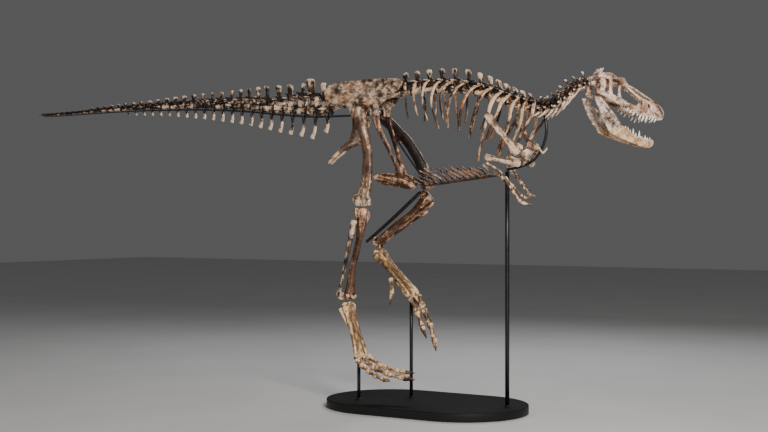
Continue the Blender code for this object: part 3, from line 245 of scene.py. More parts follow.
# A darker copy of the leg bone: painted shade for the far left thigh.
LEG_IN_SHADE = fossil("leg bone in painted shade", (0.006, 0.003, 0.002), (0.055, 0.022, 0.010), (0.72, 0.46, 0.30), 0.45, 0.55)
RED = fossil("reddish bone", (0.008, 0.003, 0.002), (0.070, 0.024, 0.009), (0.78, 0.47, 0.29), 0.62, 0.52)
GOLD = fossil("yellow bone", (0.022, 0.010, 0.004), (0.22, 0.112, 0.044), (1.00, 0.71, 0.40), 0.72, 0.52)
TOE = fossil("foot bone", (0.014, 0.006, 0.003), (0.185, 0.090, 0.038), (0.98, 0.68, 0.41), 0.70)
SKULL = fossil("skull bone", (0.030, 0.013, 0.008), (0.28, 0.155, 0.102), (1.00, 0.75, 0.58), 1.00,
               patch=(0.30, 0.14, 0.085), melted=True)
JAW_REAR = fossil("rear jaw bone", (0.018, 0.011, 0.008), (0.21, 0.148, 0.113), (0.95, 0.76, 0.62), 0.90,
                  melted=True)
DENTARY = fossil("front jaw bone", (0.055, 0.023, 0.009), (0.46, 0.240, 0.105), (1.00, 0.76, 0.49), 1.12,
                 melted=True)
IVORY, STEEL, PAINT = ivory(), black_steel(), base_paint()


# ---------------------------------------------------------------- shapes

def mm(rows):
    """Numbers given in millimetres, as metres."""
    return np.array(rows) / 1000


def unit(vectors):
    vectors = np.asarray(vectors, float)
    return vectors / np.maximum(np.linalg.norm(vectors, axis=-1, keepdims=True), 1e-9)


def run_along(points):
    """The distance along a line at each of its points."""
    return np.concatenate([[0.0], np.cumsum(np.linalg.norm(np.diff(points, axis=0), axis=1))])


def course(keys, count):
    """Rows evenly spaced on the Hermite curve through the keys: each span is a cubic whose slopes at its
    ends are the keys' own, taken against the distance along them."""
    keys = np.array(keys, float)
    at = run_along(keys[:, :3])
    slope = np.gradient(keys, at, axis=0)
    want = np.linspace(0.0, at[-1], count)
    i = np.clip(np.searchsorted(at, want, side="right") - 1, 0, len(at) - 2)
    span = (at[i + 1] - at[i])[:, None]
    t = (want - at[i])[:, None] / span
    return ((2 * t**3 - 3 * t**2 + 1) * keys[i] + (t**3 - 2 * t**2 + t) * span * slope[i]
            + (3 * t**2 - 2 * t**3) * keys[i + 1] + (t**3 - t**2) * span * slope[i + 1])


def between(x, *knots):
    """The value at x on straight lines between (x, value) knots."""
    return float(np.interp(x, *zip(*knots)))


def spaced(values, count):
    """The values, evenly spaced, at `count` even steps on straight lines between them."""
    return np.interp(np.linspace(0, 1, count), np.linspace(0, 1, np.size(values)), np.atleast_1d(values))


def lumps(points, size):
    """Smooth bumps from about -1 to 1: sines of slanted plane waves multiplied in pairs, coarse and fine."""
    x, y, z = np.moveaxis(points / size, -1, 0)
    coarse = np.sin(1.7 * x + 2.1 * y + 0.9 * z) * np.cos(1.3 * z - 1.9 * x + 0.6 * y)
    fine = np.sin(3.7 * y - 2.9 * z + 3.1 * x + 1.3) * np.cos(4.1 * x + 3.3 * z - 1.1 * y)
    return 0.7 * coarse + 0.45 * fine


class Shell:
    """Closed shells: points, four- and three-sided faces, each point's place in the grain, and how worn it
    is, with painted shade in its hollows.
    """

    def __init__(self, points, quads, tris, grain, wear, owner=None):
        self.points, self.quads, self.tris, self.grain, self.wear = points, quads, tris, grain, wear
        self.owner = np.zeros(len(points), int) if owner is None else owner

    def mirrored(self):
        return Shell(self.points * (1, -1, 1), self.quads[:, ::-1], self.tris[:, ::-1], self.grain, self.wear,
                     self.owner)


def join(shells):
    """Many shells as one, each one's faces counted on from the points before it."""
    starts = np.cumsum([0] + [len(s.points) for s in shells[:-1]])
    owners = np.cumsum([0] + [s.owner.max() + 1 for s in shells[:-1]])
    parts = [(s.points, s.quads + start, s.tris + start, s.grain, s.wear, s.owner + owner)
             for s, start, owner in zip(shells, starts, owners)]
    return Shell(*(np.concatenate(part) for part in zip(*parts)))


def crowding_for_shade(shell, reach):
    """From 0 to 1, how much of another shell is near each point: space is cut into boxes `reach` wide, four
    times over with the cuts shifted, and a box counts when points of two shells or more share it."""
    share = np.zeros(len(shell.points))
    for shift in ((0.0, 0.0, 0.0), (0.5, 0.25, 0.75), (0.25, 0.75, 0.5), (0.75, 0.5, 0.25)):
        cell = np.floor(shell.points / reach + shift).astype(np.int64) @ np.array((1, 40009, 1600720081))
        pairs = np.unique(np.stack([cell, shell.owner], -1), axis=0)[:, 0]
        cells, counts = np.unique(pairs, return_counts=True)
        share += counts[np.searchsorted(cells, cell)] > 1
    return share / 4


def tube_faces(rings, sides):
    """Four-sided faces from ring to ring, and three-sided ones from each end ring to its pole. The poles are
    the two points after the last ring's."""
    k = np.arange(sides)
    after = (k + 1) % sides
    low = np.arange(rings - 1)[:, None] * sides
    top, pole = (rings - 1) * sides, np.full(sides, rings * sides)
    return (np.stack([low + k, low + after, low + after + sides, low + k + sides], -1).reshape(-1, 4),
            np.concatenate([np.stack([pole, after, k], -1), np.stack([pole + 1, top + k, top + after], -1)]))


# The last ring before a pole: its size, and its place on the way to the pole
END_SIZE, END_AT = 0.62, 0.7


def loft(centre, wide, deep, sides=12, square=0.0, bulge=0.3, rough=0.06, lump=0.035, wear=0.25):
    """A closed shell round a line: at each centre the ring is centre + wide * c + deep * s, where c and s are
    the cosine and sine of the turn, each raised to 1 - square with its sign kept. Smooth bumps swell it by
    `rough`, and each end draws in to six tenths and closes on a pole `bulge` radii out."""
    centre, wide, deep = (np.array(v, float) for v in (centre, wide, deep))
    along = unit(np.gradient(centre, axis=0))
    if (np.cross(wide, deep) * along).sum() < 0:
        deep = -deep
    reach = np.sqrt(np.linalg.norm(wide, axis=1) * np.linalg.norm(deep, axis=1)) * bulge
    before, after = -along[0] * reach[0], along[-1] * reach[-1]
    poles = np.array([centre[0] + before, centre[-1] + after])
    centre = np.concatenate([[centre[0] + END_AT * before], centre, [centre[-1] + END_AT * after]])
    wide, deep = (np.concatenate([v[:1] * END_SIZE, v, v[-1:] * END_SIZE]) for v in (wide, deep))
    turn = 2 * np.pi * (np.arange(sides) + 0.5) / sides
    c, s = (np.sign(v) * np.abs(v)**(1.0 - square) for v in (np.cos(turn), np.sin(turn)))
    spread = wide[:, None] * c[None, :, None] + deep[:, None] * s[None, :, None]
    relief = lumps(centre[:, None] + spread, lump) * (rough > 0.0)
    spread *= 1.0 + rough * relief[..., None]
    rings, at = len(centre), run_along(centre)
    grain = np.stack([np.repeat(at[:, None], sides, 1), c * np.linalg.norm(wide, axis=1)[:, None],
                      s * np.linalg.norm(deep, axis=1)[:, None]], axis=-1).reshape(-1, 3)
    grain = np.concatenate([grain, [(0.0, 0.0, 0.0), (at[-1], 0.0, 0.0)]]) + centre[0] * (3.1, 5.7, 4.3)
    worn = spaced(wear, rings)
    # The bumps also lighten each crest and darken each hollow: worn crests, and painted shade in the hollows.
    worn = np.concatenate([(worn[:, None] + 0.4 * relief).ravel(), [worn[0], worn[-1]]])
    points = np.concatenate([(centre[:, None] + spread).reshape(-1, 3), poles])
    return Shell(points, *tube_faces(rings, sides), grain, worn)


def bone(keys, rings=14, across=LEFT, **more):
    """A loft through keys of x, y, z, half width along `across` and half depth the other way."""
    rows = course(keys, rings)
    ways = unit(np.gradient(rows[:, :3], axis=0))
    side = unit(np.asarray(across, float) - ways * (ways @ across)[:, None])
    return loft(rows[:, :3], side * rows[:, 3:4], np.cross(ways, side) * rows[:, -1:], **more)


def plate(low, high, thick, out, rings=20, **more):
    """A loft between two edges: each ring's long axis joins them, its short one is thick * out."""
    low, high = course(low, rings), course(high, rings)
    out = unit(np.broadcast_to(out, low.shape)) * spaced(thick, rings)[:, None]
    return loft((low + high) / 2, (high - low) / 2, out, **more)


def length_bone(start, end, rows, across=LEFT, rings=24, **more):
    """A long bone: rows of share of its length, then in mm shift to its front, half width, half depth."""
    start, end, rows = (np.array(v, float) for v in (start, end, rows))
    axis = unit(end - start)
    front = np.cross(axis, unit(across - axis * (axis @ across)))
    places = start + (end - start) * rows[:, :1] + front * mm(rows[:, 1:2])
    return bone(np.column_stack([places, mm(rows[:, 2:])]), rings, across, **more)


def piece(name, shells, surface, slot, *nodes, melt_at=0.0):
    """One mesh of all its shells, with its finish. Where shells crowd each other they are darkened, a painted
    shade in the crevices between bones. `melt_at` melts them into one skin of that grain."""
    shell = join(shells)
    # Painted shade: points that another shell crowds are darkened, for the shade in the crevices between
    # bones.
    worn = shell.wear - 0.45 * crowding_for_shade(shell, 0.014)
    mesh = bpy.data.meshes.new(name)
    quads, tris = len(shell.quads), len(shell.tris)
    corners = np.concatenate([shell.quads.ravel(), shell.tris.ravel()])
    starts = np.concatenate([4 * np.arange(quads), 4 * quads + 3 * np.arange(tris)])
    mesh.vertices.add(len(shell.points))
    mesh.loops.add(len(corners))
    mesh.polygons.add(quads + tris)
    mesh.vertices.foreach_set("co", shell.points.astype(np.float32).ravel())
    mesh.loops.foreach_set("vertex_index", corners.astype(np.int32))
    mesh.polygons.foreach_set("loop_start", starts.astype(np.int32))
    mesh.polygons.foreach_set("use_smooth", np.ones(quads + tris, bool))
    mesh.update(calc_edges=True)
    # The attribute written here holds how worn each point is, together with painted shade in crevices and
    # hollows.
    for key, kind, field, values in (("grain", "FLOAT_VECTOR", "vector", shell.grain),
                                     ("wear", "FLOAT", "value", worn)):
        mesh.attributes.new(key, kind, "POINT").data.foreach_set(field, values.astype(np.float32).ravel())
    mesh.materials.append(surface)
    made = add(name, mesh)
    if melt_at:
        melt = made.modifiers.new("melt", "REMESH")
        melt.mode, melt.voxel_size, melt.use_smooth_shade = "VOXEL", melt_at, True
        ease = made.modifiers.new("ease", "SMOOTH")
        ease.factor, ease.iterations = 0.5, 3
    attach(made, "root")
    if nodes:
        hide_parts(*nodes)


# ---------------------------------------------------------------- the stand

BASE_LENGTH, BASE_WIDTH, BASE_THICK = mm((1815, 1122, 73))
# The tail bar: x, z and half height
TAIL_BAR = mm(((-720, 2538, 10), (-1178, 2545, 10), (-1489, 2573, 9.5), (-1809, 2611, 9), (-2138, 2641, 8.5),
               (-2476, 2662, 8), (-2845, 2675, 7), (-3205, 2683, 6), (-3574, 2685, 5.5), (-3956, 2681, 5),
               (-4350, 2677, 4), (-4612, 2681, 3)))
BAR = course(np.insert(TAIL_BAR, 1, 0.0, axis=1), 400)
PLAIN = {"rough": 0.0, "wear": 0.0}
# The rods: name, x, y, top and radius
RODS = (("rear", -538, -222, 405, 14.8), ("middle", -198, 91, 925, 14.8), ("front", 748, 45, 2020, 17.8))
# The bars: rows of x, y, z and radius, the count of rings and of sides
BARS = {
    "neck": (((748, 45, 2036, 11.7), (860, 30, 2052, 11.7), (1020, 0, 2115, 11.7), (1092, 0, 2220, 11.7),
              (1122, 0, 2340, 11.5), (1110, 0, 2457, 11)), 40, 14),
    "thigh": (((-420, 126, 2391, 7.8), (-358, 126, 2309, 7.8), (-114, 126, 1990, 7.8)), 14, 12),
    "shin": (((-131, 130, 1856, 15.6), (-404, 138, 1635, 15.6), (-688, 144, 1420, 13.7)), 14, 14)}
YOKE = ((1000, -35, 2104, 8.5), (1000, 0, 2104, 8.5), (1000, 35, 2104, 8.5))


def base_slab():
    """The base: a rectangle with half-round ends, drawn in by a rounded edge at top and foot."""
    turn = np.linspace(-np.pi / 2, np.pi / 2, 40)
    radius, reach = BASE_WIDTH / 2, (BASE_LENGTH - BASE_WIDTH) / 2
    right = np.stack([reach + radius * np.cos(turn), radius * np.sin(turn)], -1)
    rim = np.concatenate([right, -right])
    edge = [(z, 1.0 - inset / radius) for z, inset in mm(((0, 4), (1.2, 1.2), (4, 0)))]
    top = mm(((6, 0), (3.5, 0.8), (1, 3.2), (0, 6)))
    edge += [(BASE_THICK - fall, 1.0 - inset / radius) for fall, inset in top]
    steps = [(0.0, 0.4), *edge, (BASE_THICK, 0.97), (BASE_THICK, 0.6)]
    rings = np.array([np.column_stack([rim * size, np.full(len(rim), z)]) for z, size in steps])
    points = np.concatenate([rings.reshape(-1, 3), [(0, 0, 0), (0, 0, BASE_THICK)]])
    return Shell(points, *tube_faces(*rings.shape[:2]), points.copy(), np.zeros(len(points)))


def make_stand():
    piece("base_slab", [base_slab()], PAINT, "base_paint", "stand_base")
    foot = BASE_THICK + 0.0008
    for name, *sizes in RODS:
        x, y, top, radius = mm(sizes)
        rod = bone([(x, y, foot, radius), (x, y, top, radius)], 4, sides=24, bulge=0.1, **PLAIN)
        rim = mm((7.5, 7.5, 4))[:, None] + radius
        collar = loft([(x, y, foot + rise) for rise in mm((0, 5, 7.8))], AHEAD * rim, LEFT * rim, sides=24,
                      bulge=0.0, **PLAIN)
        piece("rod_" + name, [rod, collar], STEEL, "black_steel", "stand_rod_" + name)
    line, half = BAR[::8, :3], BAR[::8, 3:]
    tail = loft(line, LEFT * half * 0.85, UP * half * 0.97, sides=10, square=0.1, **PLAIN)
    piece("tail_bar", [tail], STEEL, "black_steel", "stand_tail_bar")
    for name, (rows, rings, sides) in BARS.items():
        shells = [bone(mm(rows), rings, sides=sides, **PLAIN)]
        if name == "neck":
            shells.append(bone(mm(YOKE), 6, UP, sides=12, **PLAIN))
        piece(name + "_bar", shells, STEEL, "black_steel", f"stand_{name}_bar")


# ---------------------------------------------------------------- vertebrae

class Spot:
    """A vertebra's own axes from the middle of its centrum: f towards the head, s to the left, u up."""

    def __init__(self, centre, forward, half, length):
        self.centre = np.array(centre, float)
        self.f = unit(forward)
        self.s = unit(np.cross(UP, self.f))
        self.u = np.cross(self.f, self.s)
        self.half, self.length = half, length

    def at(self, rows):
        f, s, u = np.transpose(np.array(rows, float))[..., None]
        return self.centre + f * self.f + s * self.s + u * self.u

    def bone(self, rows, rings=6, across=None, **more):
        """A bone through rows of f, s, u, half width along `across`, half depth."""
        rows = np.array(rows, float)
        return bone(np.column_stack([self.at(rows[:, :3]), rows[:, 3:]]), rings,
                    self.f if across is None else across, **more)

    def both(self, rows, rings=6, across=None, **more):
        """The same on the left and the right."""
        return [self.bone(side_of(rows, hand), rings, across, **more) for hand in (1, -1)]

    def block(self, heights, run, wide, square=0.2, bulge=0.3, **more):
        """A loft up from the centrum: at each height its half length and half width."""
        centre = self.centre + self.u * np.array(heights)[:, None]
        return loft(centre, self.f * np.array(run)[:, None], self.s * np.array(wide)[:, None], 12, square,
                    bulge, **more)

    def centrum(self, gap=0.003, waist=0.66, rough=0.09, wear=(0.0, 0.45, 0.75, 0.45, 0.0)):
        """A spool: half the length each way, its radius drawn in at the waist and its ends hollowed."""
        f = np.array((-0.5, -0.47, -0.36, -0.18, 0.0, 0.18, 0.36, 0.47, 0.5)) * (self.length - gap)
        r = np.interp(np.abs(f) / self.length, (0, 0.18, 0.36, 0.46, 0.5),
                      (waist, waist + 0.06, 0.90, 1.0, 0.95))
        r = r[:, None] * self.half
        return loft(self.centre + f[:, None] * self.f, self.s * r * 0.92, self.u * r * 0.97, 14, bulge=-0.25,
                    rough=rough, lump=0.03, wear=wear)

    def spine(self, base, top, run, thick, lean=0.0, upright=0.0, flare=1.25, waist=0.80):
        """A neural spine: a plate from base to top, `run` half long, thickened and worn at its top."""
        up = unit(self.u * (1 - upright) + UP * upright)
        share = np.array((0.0, 0.22, 0.45, 0.66, 0.82, 0.93, 1.0))
        height = base + (top - base) * share
        centre = self.centre + up * height[:, None] - self.f * (lean * height)[:, None]
        long = run * np.interp(share, (0, 0.22, 0.45, 0.7, 0.88, 1),
                               (1.2, waist, waist + 0.04, 1.0, 1.06, 0.74))
        deep = thick * np.interp(share, (0, 0.22, 0.5, 0.8, 0.93, 1),
                                 (1.5, 0.75, 0.75, flare, flare, flare * 0.7))
        return loft(centre, self.f * long[:, None], self.s * deep[:, None], 12, 0.2, 0.35, rough=0.16,
                    lump=0.020, wear=(0.1, 0.5, 1.1))

    def arch(self, rise, run=0.33, wide=0.42):
        """The block over the centrum that carries the spine."""
        return self.block(self.half * np.array((0.6, (0.6 + rise) / 1.5, rise)),
                          self.length * run * np.array((1.1, 1.0, 0.9)),
                          self.half * wide * np.array((1.25, 1.0, 0.6)), rough=0.12, lump=0.02, wear=0.15)

    def pedicle(self, top, thick):
        """The upright block over a tail centrum: narrow in the middle, long where its spine begins."""
        low = self.half * 0.6
        return self.block(low + (top - low) * np.array((0.0, 0.3, 0.6, 0.85, 1.0)),
                          self.length * np.array((0.44, 0.42, 0.42, 0.45, 0.45)),
                          thick * np.array((1.5, 1.1, 1.0, 1.05, 0.8)), 0.25, 0.1, rough=0.13, lump=0.025,
                          wear=(0.5, 0.9, 0.8, 0.4, 0.2))

    def facets(self, rise, reach=0.16, thick=0.010, out=0.34, rear=True):
        """The joint processes: a pair forward and up, a pair back, overlapping the neighbours'."""
        pairs = (((0.18, 0.7, -0.25, 1.2, 1.3), (0.42, 1.0, 0.0, 1.0, 0.8),
                  (0.5 + reach, 1.15, 0.18, 0.7, 0.6)),
                 ((-0.15, 0.6, 0.1, 1.2, 1.2), (-0.38, 0.8, 0.22, 1.0, 1.0),
                  (-0.5 - reach * 0.4, 0.9, 0.28, 0.8, 0.6)))
        return [shell for rows in pairs[:1 + rear] for shell in self.both(
            [(f * self.length, out * s * self.half, self.half * (rise + u), thick * wide, thick * deep)
             for f, s, u, wide, deep in rows], 5, self.s, sides=8, wear=(0.1, 0.7))]

    def wings(self, reach, rise, run, thick, back=0.0, drop=0.0):
        """The transverse processes, out to each side and a little back."""
        rows = [(0.0, 0.25 * self.half, rise * 0.8, run * 1.2, thick * 1.3),
                (-back * 0.4, reach * 0.5, rise - drop * 0.3, run * 0.85, thick * 0.9),
                (-back, reach, rise - drop, run, thick * 0.8)]
        return self.both(rows, 7, self.f, sides=8, square=0.2, wear=(0.1, 0.3, 0.9))


def side_of(rows, hand):
    """Rows whose second number points left: as they are, or with hand -1 on the right."""
    return [(x, hand * y, *rest) for x, y, *rest in rows]


# ---------------------------------------------------------------- the tail

# The tail's lengths and how many vertebrae each has; a vertebra's length by its number
TAIL_LENGTHS = (("tail_1", 7), ("tail_2", 7), ("tail_3", 7), ("tail_4", 8), ("tail_tip", 8))
CAUDAL_PITCH = ((0, 0.133), (5, 0.116), (19, 0.108), (24, 0.090), (36, 0.058))
SACRUM_REAR_X, SACRUM_FRONT_X, DORSAL_FRONT_X = -0.965, -0.245, 1.060
LAST_SPINE, LAST_WING, LAST_CHEVRON = 26, 12, 21
# A chevron's blade: how far ahead in m, how far back and down by its length, breadth and depth by thickness
CHEVRON_BLADE = ((0.026, -0.03, 0.14, 0.9, 1.6), (0.032, -0.08, 0.42, 1.05, 2.0),
                 (0.042, -0.19, 0.70, 1.0, 2.1), (0.047, -0.27, 0.85, 1.05, 2.6),
                 (0.047, -0.32, 0.95, 1.05, 3.2), (0.047, -0.33, 0.985, 0.85, 2.7))
# Heights over the middle of the centrum, by number back along the tail
CAUDAL_ARCH = ((0, 0.150), (1, 0.160), (2, 0.156), (3, 0.138), (4, 0.113), (5, 0.094), (7, 0.088),
               (10, 0.068), (13, 0.048), (20, 0.030), (27, 0.018))
CAUDAL_SPINE = ((0, 0.245), (1, 0.282), (2, 0.243), (3, 0.225), (10, 0.130), (18, 0.068), (27, 0.036))
# How much broader the first spines are than the rest, and how far their tops stand off, rearward below 0
SPINE_BREADTH = (1.0, 1.7, 0.8, 1.2, 1.2, 1.1, 1.0, 0.7, 0.8, 0.85, 0.8, 0.7, 0.9, 1.0)
SPINE_OFFSET = mm((0, -20, 20, -8, -20, -45, -18, -10, 12, 25, 10, 14, 10, 10))


def bar_at(x):
    """The tail bar's height and half height."""
    return [float(np.interp(-x, -BAR[:, 0], BAR[:, c])) for c in (2, 3)]


def chevron(x, z, number):
    """Two thin prongs past the tail bar and one blade, swept back, that ends in a broad foot."""
    bar_z, bar_half = bar_at(x + 0.035)
    drop = between(number, (0, 0.13), (1, 0.185), (2, 0.165), (8, 0.105), (16, 0.045), (24, 0.018))
    thick = between(number, (0, 0.0082), (12, 0.0066), (24, 0.0035))
    level = bar_z - bar_half - 0.002
    prong = [(x + 0.012, bar_half + 1.6 * thick, z, thick * 0.7, thick * 1.0),
             (x + 0.020, bar_half + 0.0015 + 0.8 * thick, level, thick * 0.65, thick * 1.1),
             (x + 0.026 - 0.05 * drop, thick * 0.45, level - 0.26 * drop, thick * 0.8, thick * 1.5)]
    blade = [(x + ahead + sweep * drop - (0.5 * thick if fall > 0.8 else 0.0), 0, level - fall * drop,
              thick * wide, thick * deep) for ahead, sweep, fall, wide, deep in CHEVRON_BLADE]
    return [bone(side_of(prong, hand), 7, sides=8, wear=(-0.3, -0.2, 0.6)) for hand in (1, -1)] + [
        bone(blade, 11, sides=10, rough=0.10, wear=(0.6, 1.0, 1.1))]


def caudal(spot, number, last):
    """One tail vertebra, with the parts that its place in the tail still has."""
    h, l = spot.half, spot.length
    small = between(number, (0, 0.0), (20, 1.0))
    shells = [spot.centrum(0.004 - 0.0025 * small, 0.64 + 0.14 * small)]
    arch = between(number, *CAUDAL_ARCH) * 0.97
    if number <= LAST_SPINE:
        top = between(number, *CAUDAL_SPINE)
        breadth, offset = dict(enumerate(zip(SPINE_BREADTH, SPINE_OFFSET))).get(number, (1.1, 0.0))
        shells += [spot.pedicle(arch, h * 0.36),
                   spot.spine(arch - 0.25 * (top - arch), top - 0.003, l * 0.224 * breadth, 0.0048 + 0.06 * h,
                              0.12 - offset / top, flare=1.7)]
    else:
        shells.append(spot.arch(1.25, 0.4))
    thick = between(number, (0, 0.010), (12, 0.0065), (34, 0.0030))
    shells += spot.facets(max(arch / h - 0.22, 1.12 - 0.2 * small), 0.12 + 0.18 * small, thick, rear=not last)
    if number <= LAST_WING:
        reach = between(number, (0, 0.133), (8, 0.083), (13, 0.046))
        shells += spot.wings(reach, arch * 0.72, l * 0.15, 0.0058, 0.02)
    return shells


def make_tail():
    names = [name for name, count in TAIL_LENGTHS for _ in range(count)]
    lengths = np.array([between(number, *CAUDAL_PITCH) for number in range(len(names))])
    lengths *= (SACRUM_REAR_X - TAIL_BAR[-1, 0]) / lengths.sum()
    ends = SACRUM_REAR_X - np.concatenate([[0.0], np.cumsum(lengths)])
    shells = {name: [] for name in names}
    for number, (name, front, rear) in enumerate(zip(names, ends, ends[1:])):
        x = (front + rear) / 2
        bar_z, bar_half = bar_at(x)
        half = between(x, (-4.612, 0.007), (-3.9, 0.015), (-3.2, 0.023), (-2.5, 0.033), (-1.2, 0.049))
        z = bar_z + bar_half + half * 0.95 + 0.0024
        spot = Spot((x, 0, z), (front - rear, 0, bar_at(front)[0] - bar_at(rear)[0]), half, front - rear)
        shells[name] += caudal(spot, number, number == len(names) - 1)
        if number <= LAST_CHEVRON:
            shells[name] += chevron(x, z - half * 0.5, number)
    for name, found in shells.items():
        piece(name + "_bones", found, DARK, "dark_bone", name)


# ---------------------------------------------------------------- the trunk and neck

# The line of the centra from rear to front: x, y, z and half height
TRUNK_LINE = mm(((-970, 0, 2628, 50), (-600, 0, 2690, 48), (-240, 0, 2722, 50), (144, 0, 2735, 48),
                 (420, 0, 2708, 46), (620, 0, 2655, 45), (800, 0, 2588, 44), (949, 0, 2540, 43),
                 (1065, 0, 2519, 42), (1164, 12, 2532, 41), (1232, 38, 2575, 40), (1289, 68, 2630, 39),
                 (1343, 100, 2685, 37), (1395, 124, 2715, 33), (1432, 140, 2717, 27)))
TRUNK = course(TRUNK_LINE, 400)
TRUNK_AT = run_along(TRUNK[:, :3])
NECK_COUNT, DORSAL_COUNT, SACRAL_COUNT = 9, 13, 5
DORSAL_PITCH = ((0, 0.062), (4, 0.085), (7, 0.120), (9, 0.122), (12, 0.108))
# How far down each rib reaches
RIB_DROP = mm((280, 440, 430, 360, 550, 400, 330, 370, 320, 400, 330, 280, 300))


def length_at_x(x):
    return float(np.interp(x, TRUNK[:, 0], TRUNK_AT))


def spot_between(first, second, level=False):
    """A vertebra between two running lengths, the one nearer the head first; `level` puts it on y = 0."""
    middle, fore, aft = (np.array([np.interp(length, TRUNK_AT, TRUNK[:, c]) for c in range(4)])
                         for length in ((first + second) / 2, first, second))
    spot = Spot(middle[:3], (fore - aft)[:3], middle[3], abs(first - second))
    if level:
        spot.centre[1], spot.f[1] = 0.0, 0.0
    return spot


def rib(number, spot):
    """A rib on the right: its head on the centrum and its knob on the wing, then out, round and down."""
    x, _, z = spot.centre
    drop = RIB_DROP[number]
    wide = between(number, (0, 0.125), (3, 0.185), (7, 0.25), (12, 0.165))
    middle = between(number, (0, 0.02), (3, -0.045), (7, -0.055), (9, 0.0), (12, 0.085))
    tip = between(number, (0, -0.10), (3, -0.165), (5, -0.13), (7, -0.10), (9, 0.05), (12, 0.095))
    thick = between(number, (0, 0.012), (4, 0.0145), (9, 0.011), (12, 0.009))
    z += spot.half * 0.9
    rows = ((x + 0.025, -0.075, z + 0.020, thick * 1.25),
            (x + 0.012 + middle * 0.5, -wide * 0.76, z - drop * 0.08, thick * 1.3),
            (x + middle, -wide, z - drop * 0.38, thick),
            (x + 0.45 * middle + 0.55 * tip, -wide * 0.98, z - drop * 0.72, thick * 0.9),
            (x + tip, -wide * 0.82, z - drop, thick * 0.8))
    line = course(rows, 20)
    ways = unit(np.gradient(line[:, :3], axis=0))
    fore = unit(AHEAD - ways * ways[:, :1])
    taper = np.interp(np.linspace(0, 1, 20), (0, 0.08, 0.2, 0.4, 0.9, 1.0),
                      (0.68, 0.95, 1.0, 0.88, 0.85, 0.72))
    size = line[:, 3:] * taper[:, None]
    shaft = loft(line[:, :3], fore * size * 1.12, np.cross(ways, fore) * size * 0.60, 10, 0.1,
                 rough=0.09, lump=0.03, wear=(0.6, 1.1, 0.8, 0.45, 0.65))
    neck = bone([(x + 0.004, -spot.half * 0.85, spot.centre[2] + spot.half * 0.35, 0.009, 0.009),
                 (x + 0.014, -0.072, z + 0.004, 0.007, 0.006),
                 (x + 0.012 + middle * 0.35, -wide * 0.55, z - drop * 0.012, 0.008, 0.006)], 8, AHEAD,
                sides=8, wear=(0.3, 0.5))
    return [shaft, neck]


def make_chest():
    front, rear = length_at_x(DORSAL_FRONT_X), length_at_x(SACRUM_FRONT_X)
    steps = np.array([between(number, *DORSAL_PITCH) for number in range(DORSAL_COUNT)])
    ends = front + (rear - front) * np.concatenate([[0.0], np.cumsum(steps)]) / steps.sum()
    middle_bones, right_ribs = [], []
    for number in range(DORSAL_COUNT):
        spot = spot_between(*ends[number:number + 2], level=True)
        h, l = spot.half, spot.length
        top = between(number, (0, 0.125), (4, 0.150), (7, 0.172), (12, 0.165)) - 0.007
        lean = between(number, (0, 0.50), (3, 0.42), (6, 0.15), (12, 0.08))
        middle_bones += [spot.centrum(rough=0.14, wear=(0.1, 0.5, 0.75, 0.5, 0.1)), spot.arch(1.7),
                         *spot.facets(1.35, 0.10, 0.009),
                         *spot.wings(0.085, h * 1.30, l * 0.17, 0.008, 0.01, -0.006),
                         spot.spine(h * 1.2, top, min(0.027, l * 0.32), 0.0098, lean, 1.0, 1.45, 0.72)]
        right_ribs += rib(number, spot)
    right_ribs = join(right_ribs)
    piece("chest_vertebrae", middle_bones, DARK, "dark_bone", "ribcage_right", "ribcage_left")
    piece("ribs_right", [right_ribs], RIB, "dark_bone", "ribcage_right")
    piece("ribs_left", [right_ribs.mirrored()], RIB, "dark_bone", "ribcage_left")


# The height of the neck's spines, by number forward along the neck
NECK_SPINE = ((0, 0.105), (3, 0.100), (6, 0.115), (8, 0.105))


def neck_rib(spot, hand, reach):
    root = spot.centre + spot.s * (hand * spot.half * 1.1) - UP * spot.half * 0.65
    tip = root - spot.f * reach * 0.75 + spot.s * (hand * 0.03) - UP * (reach * 0.45 - spot.half * 0.05)
    middle = (root + tip) / 2 + spot.s * (hand * 0.006) - UP * 0.004
    return bone([(*(root + spot.f * 0.012), 0.008, 0.010), (*root, 0.010, 0.012), (*middle, 0.006, 0.007),
                 (*tip, 0.0028, 0.003)], 10, spot.s, sides=8, wear=(0.5, 1.0, 1.1))


def make_neck():
    joints = np.linspace(length_at_x(DORSAL_FRONT_X), TRUNK_AT[-1], NECK_COUNT + 1)
    for name, first, last in (("neck_rear", 0, 5), ("neck_front", 5, NECK_COUNT)):
        shells = []
        for number in range(first, last):
            spot = spot_between(joints[number + 1], joints[number])
            h, l = spot.half, spot.length
            top = between(number, *NECK_SPINE) - 0.004 - 0.012 * (number % 3 == 1)
            reach = between(number, (0, 0.08), (4, 0.12), (7, 0.11), (8, 0.05))
            shells += [spot.centrum(), spot.arch(1.6, 0.36, 0.5), *spot.facets(1.25, 0.16, 0.011, 0.62),
                       spot.spine(h * 1.2, top, l * (0.21 - 0.04 * (number % 2)), 0.0105,
                                  0.1 + 0.05 * (number % 3), flare=1.5),
                       *spot.wings(0.078, h * 0.35, l * 0.20, 0.009, 0.012, 0.012),
                       *(neck_rib(spot, hand, reach) for hand in (1, -1))]
        piece(name + "_bones", shells, DARK, "dark_bone", name)


HIP_X, HIP_Z = mm((-562, 2545))


def ilium_y(z):
    """The distance of a hip blade's middle from the midplane: it leans in with its height."""
    return 0.112 - 0.10 * (z - HIP_Z)


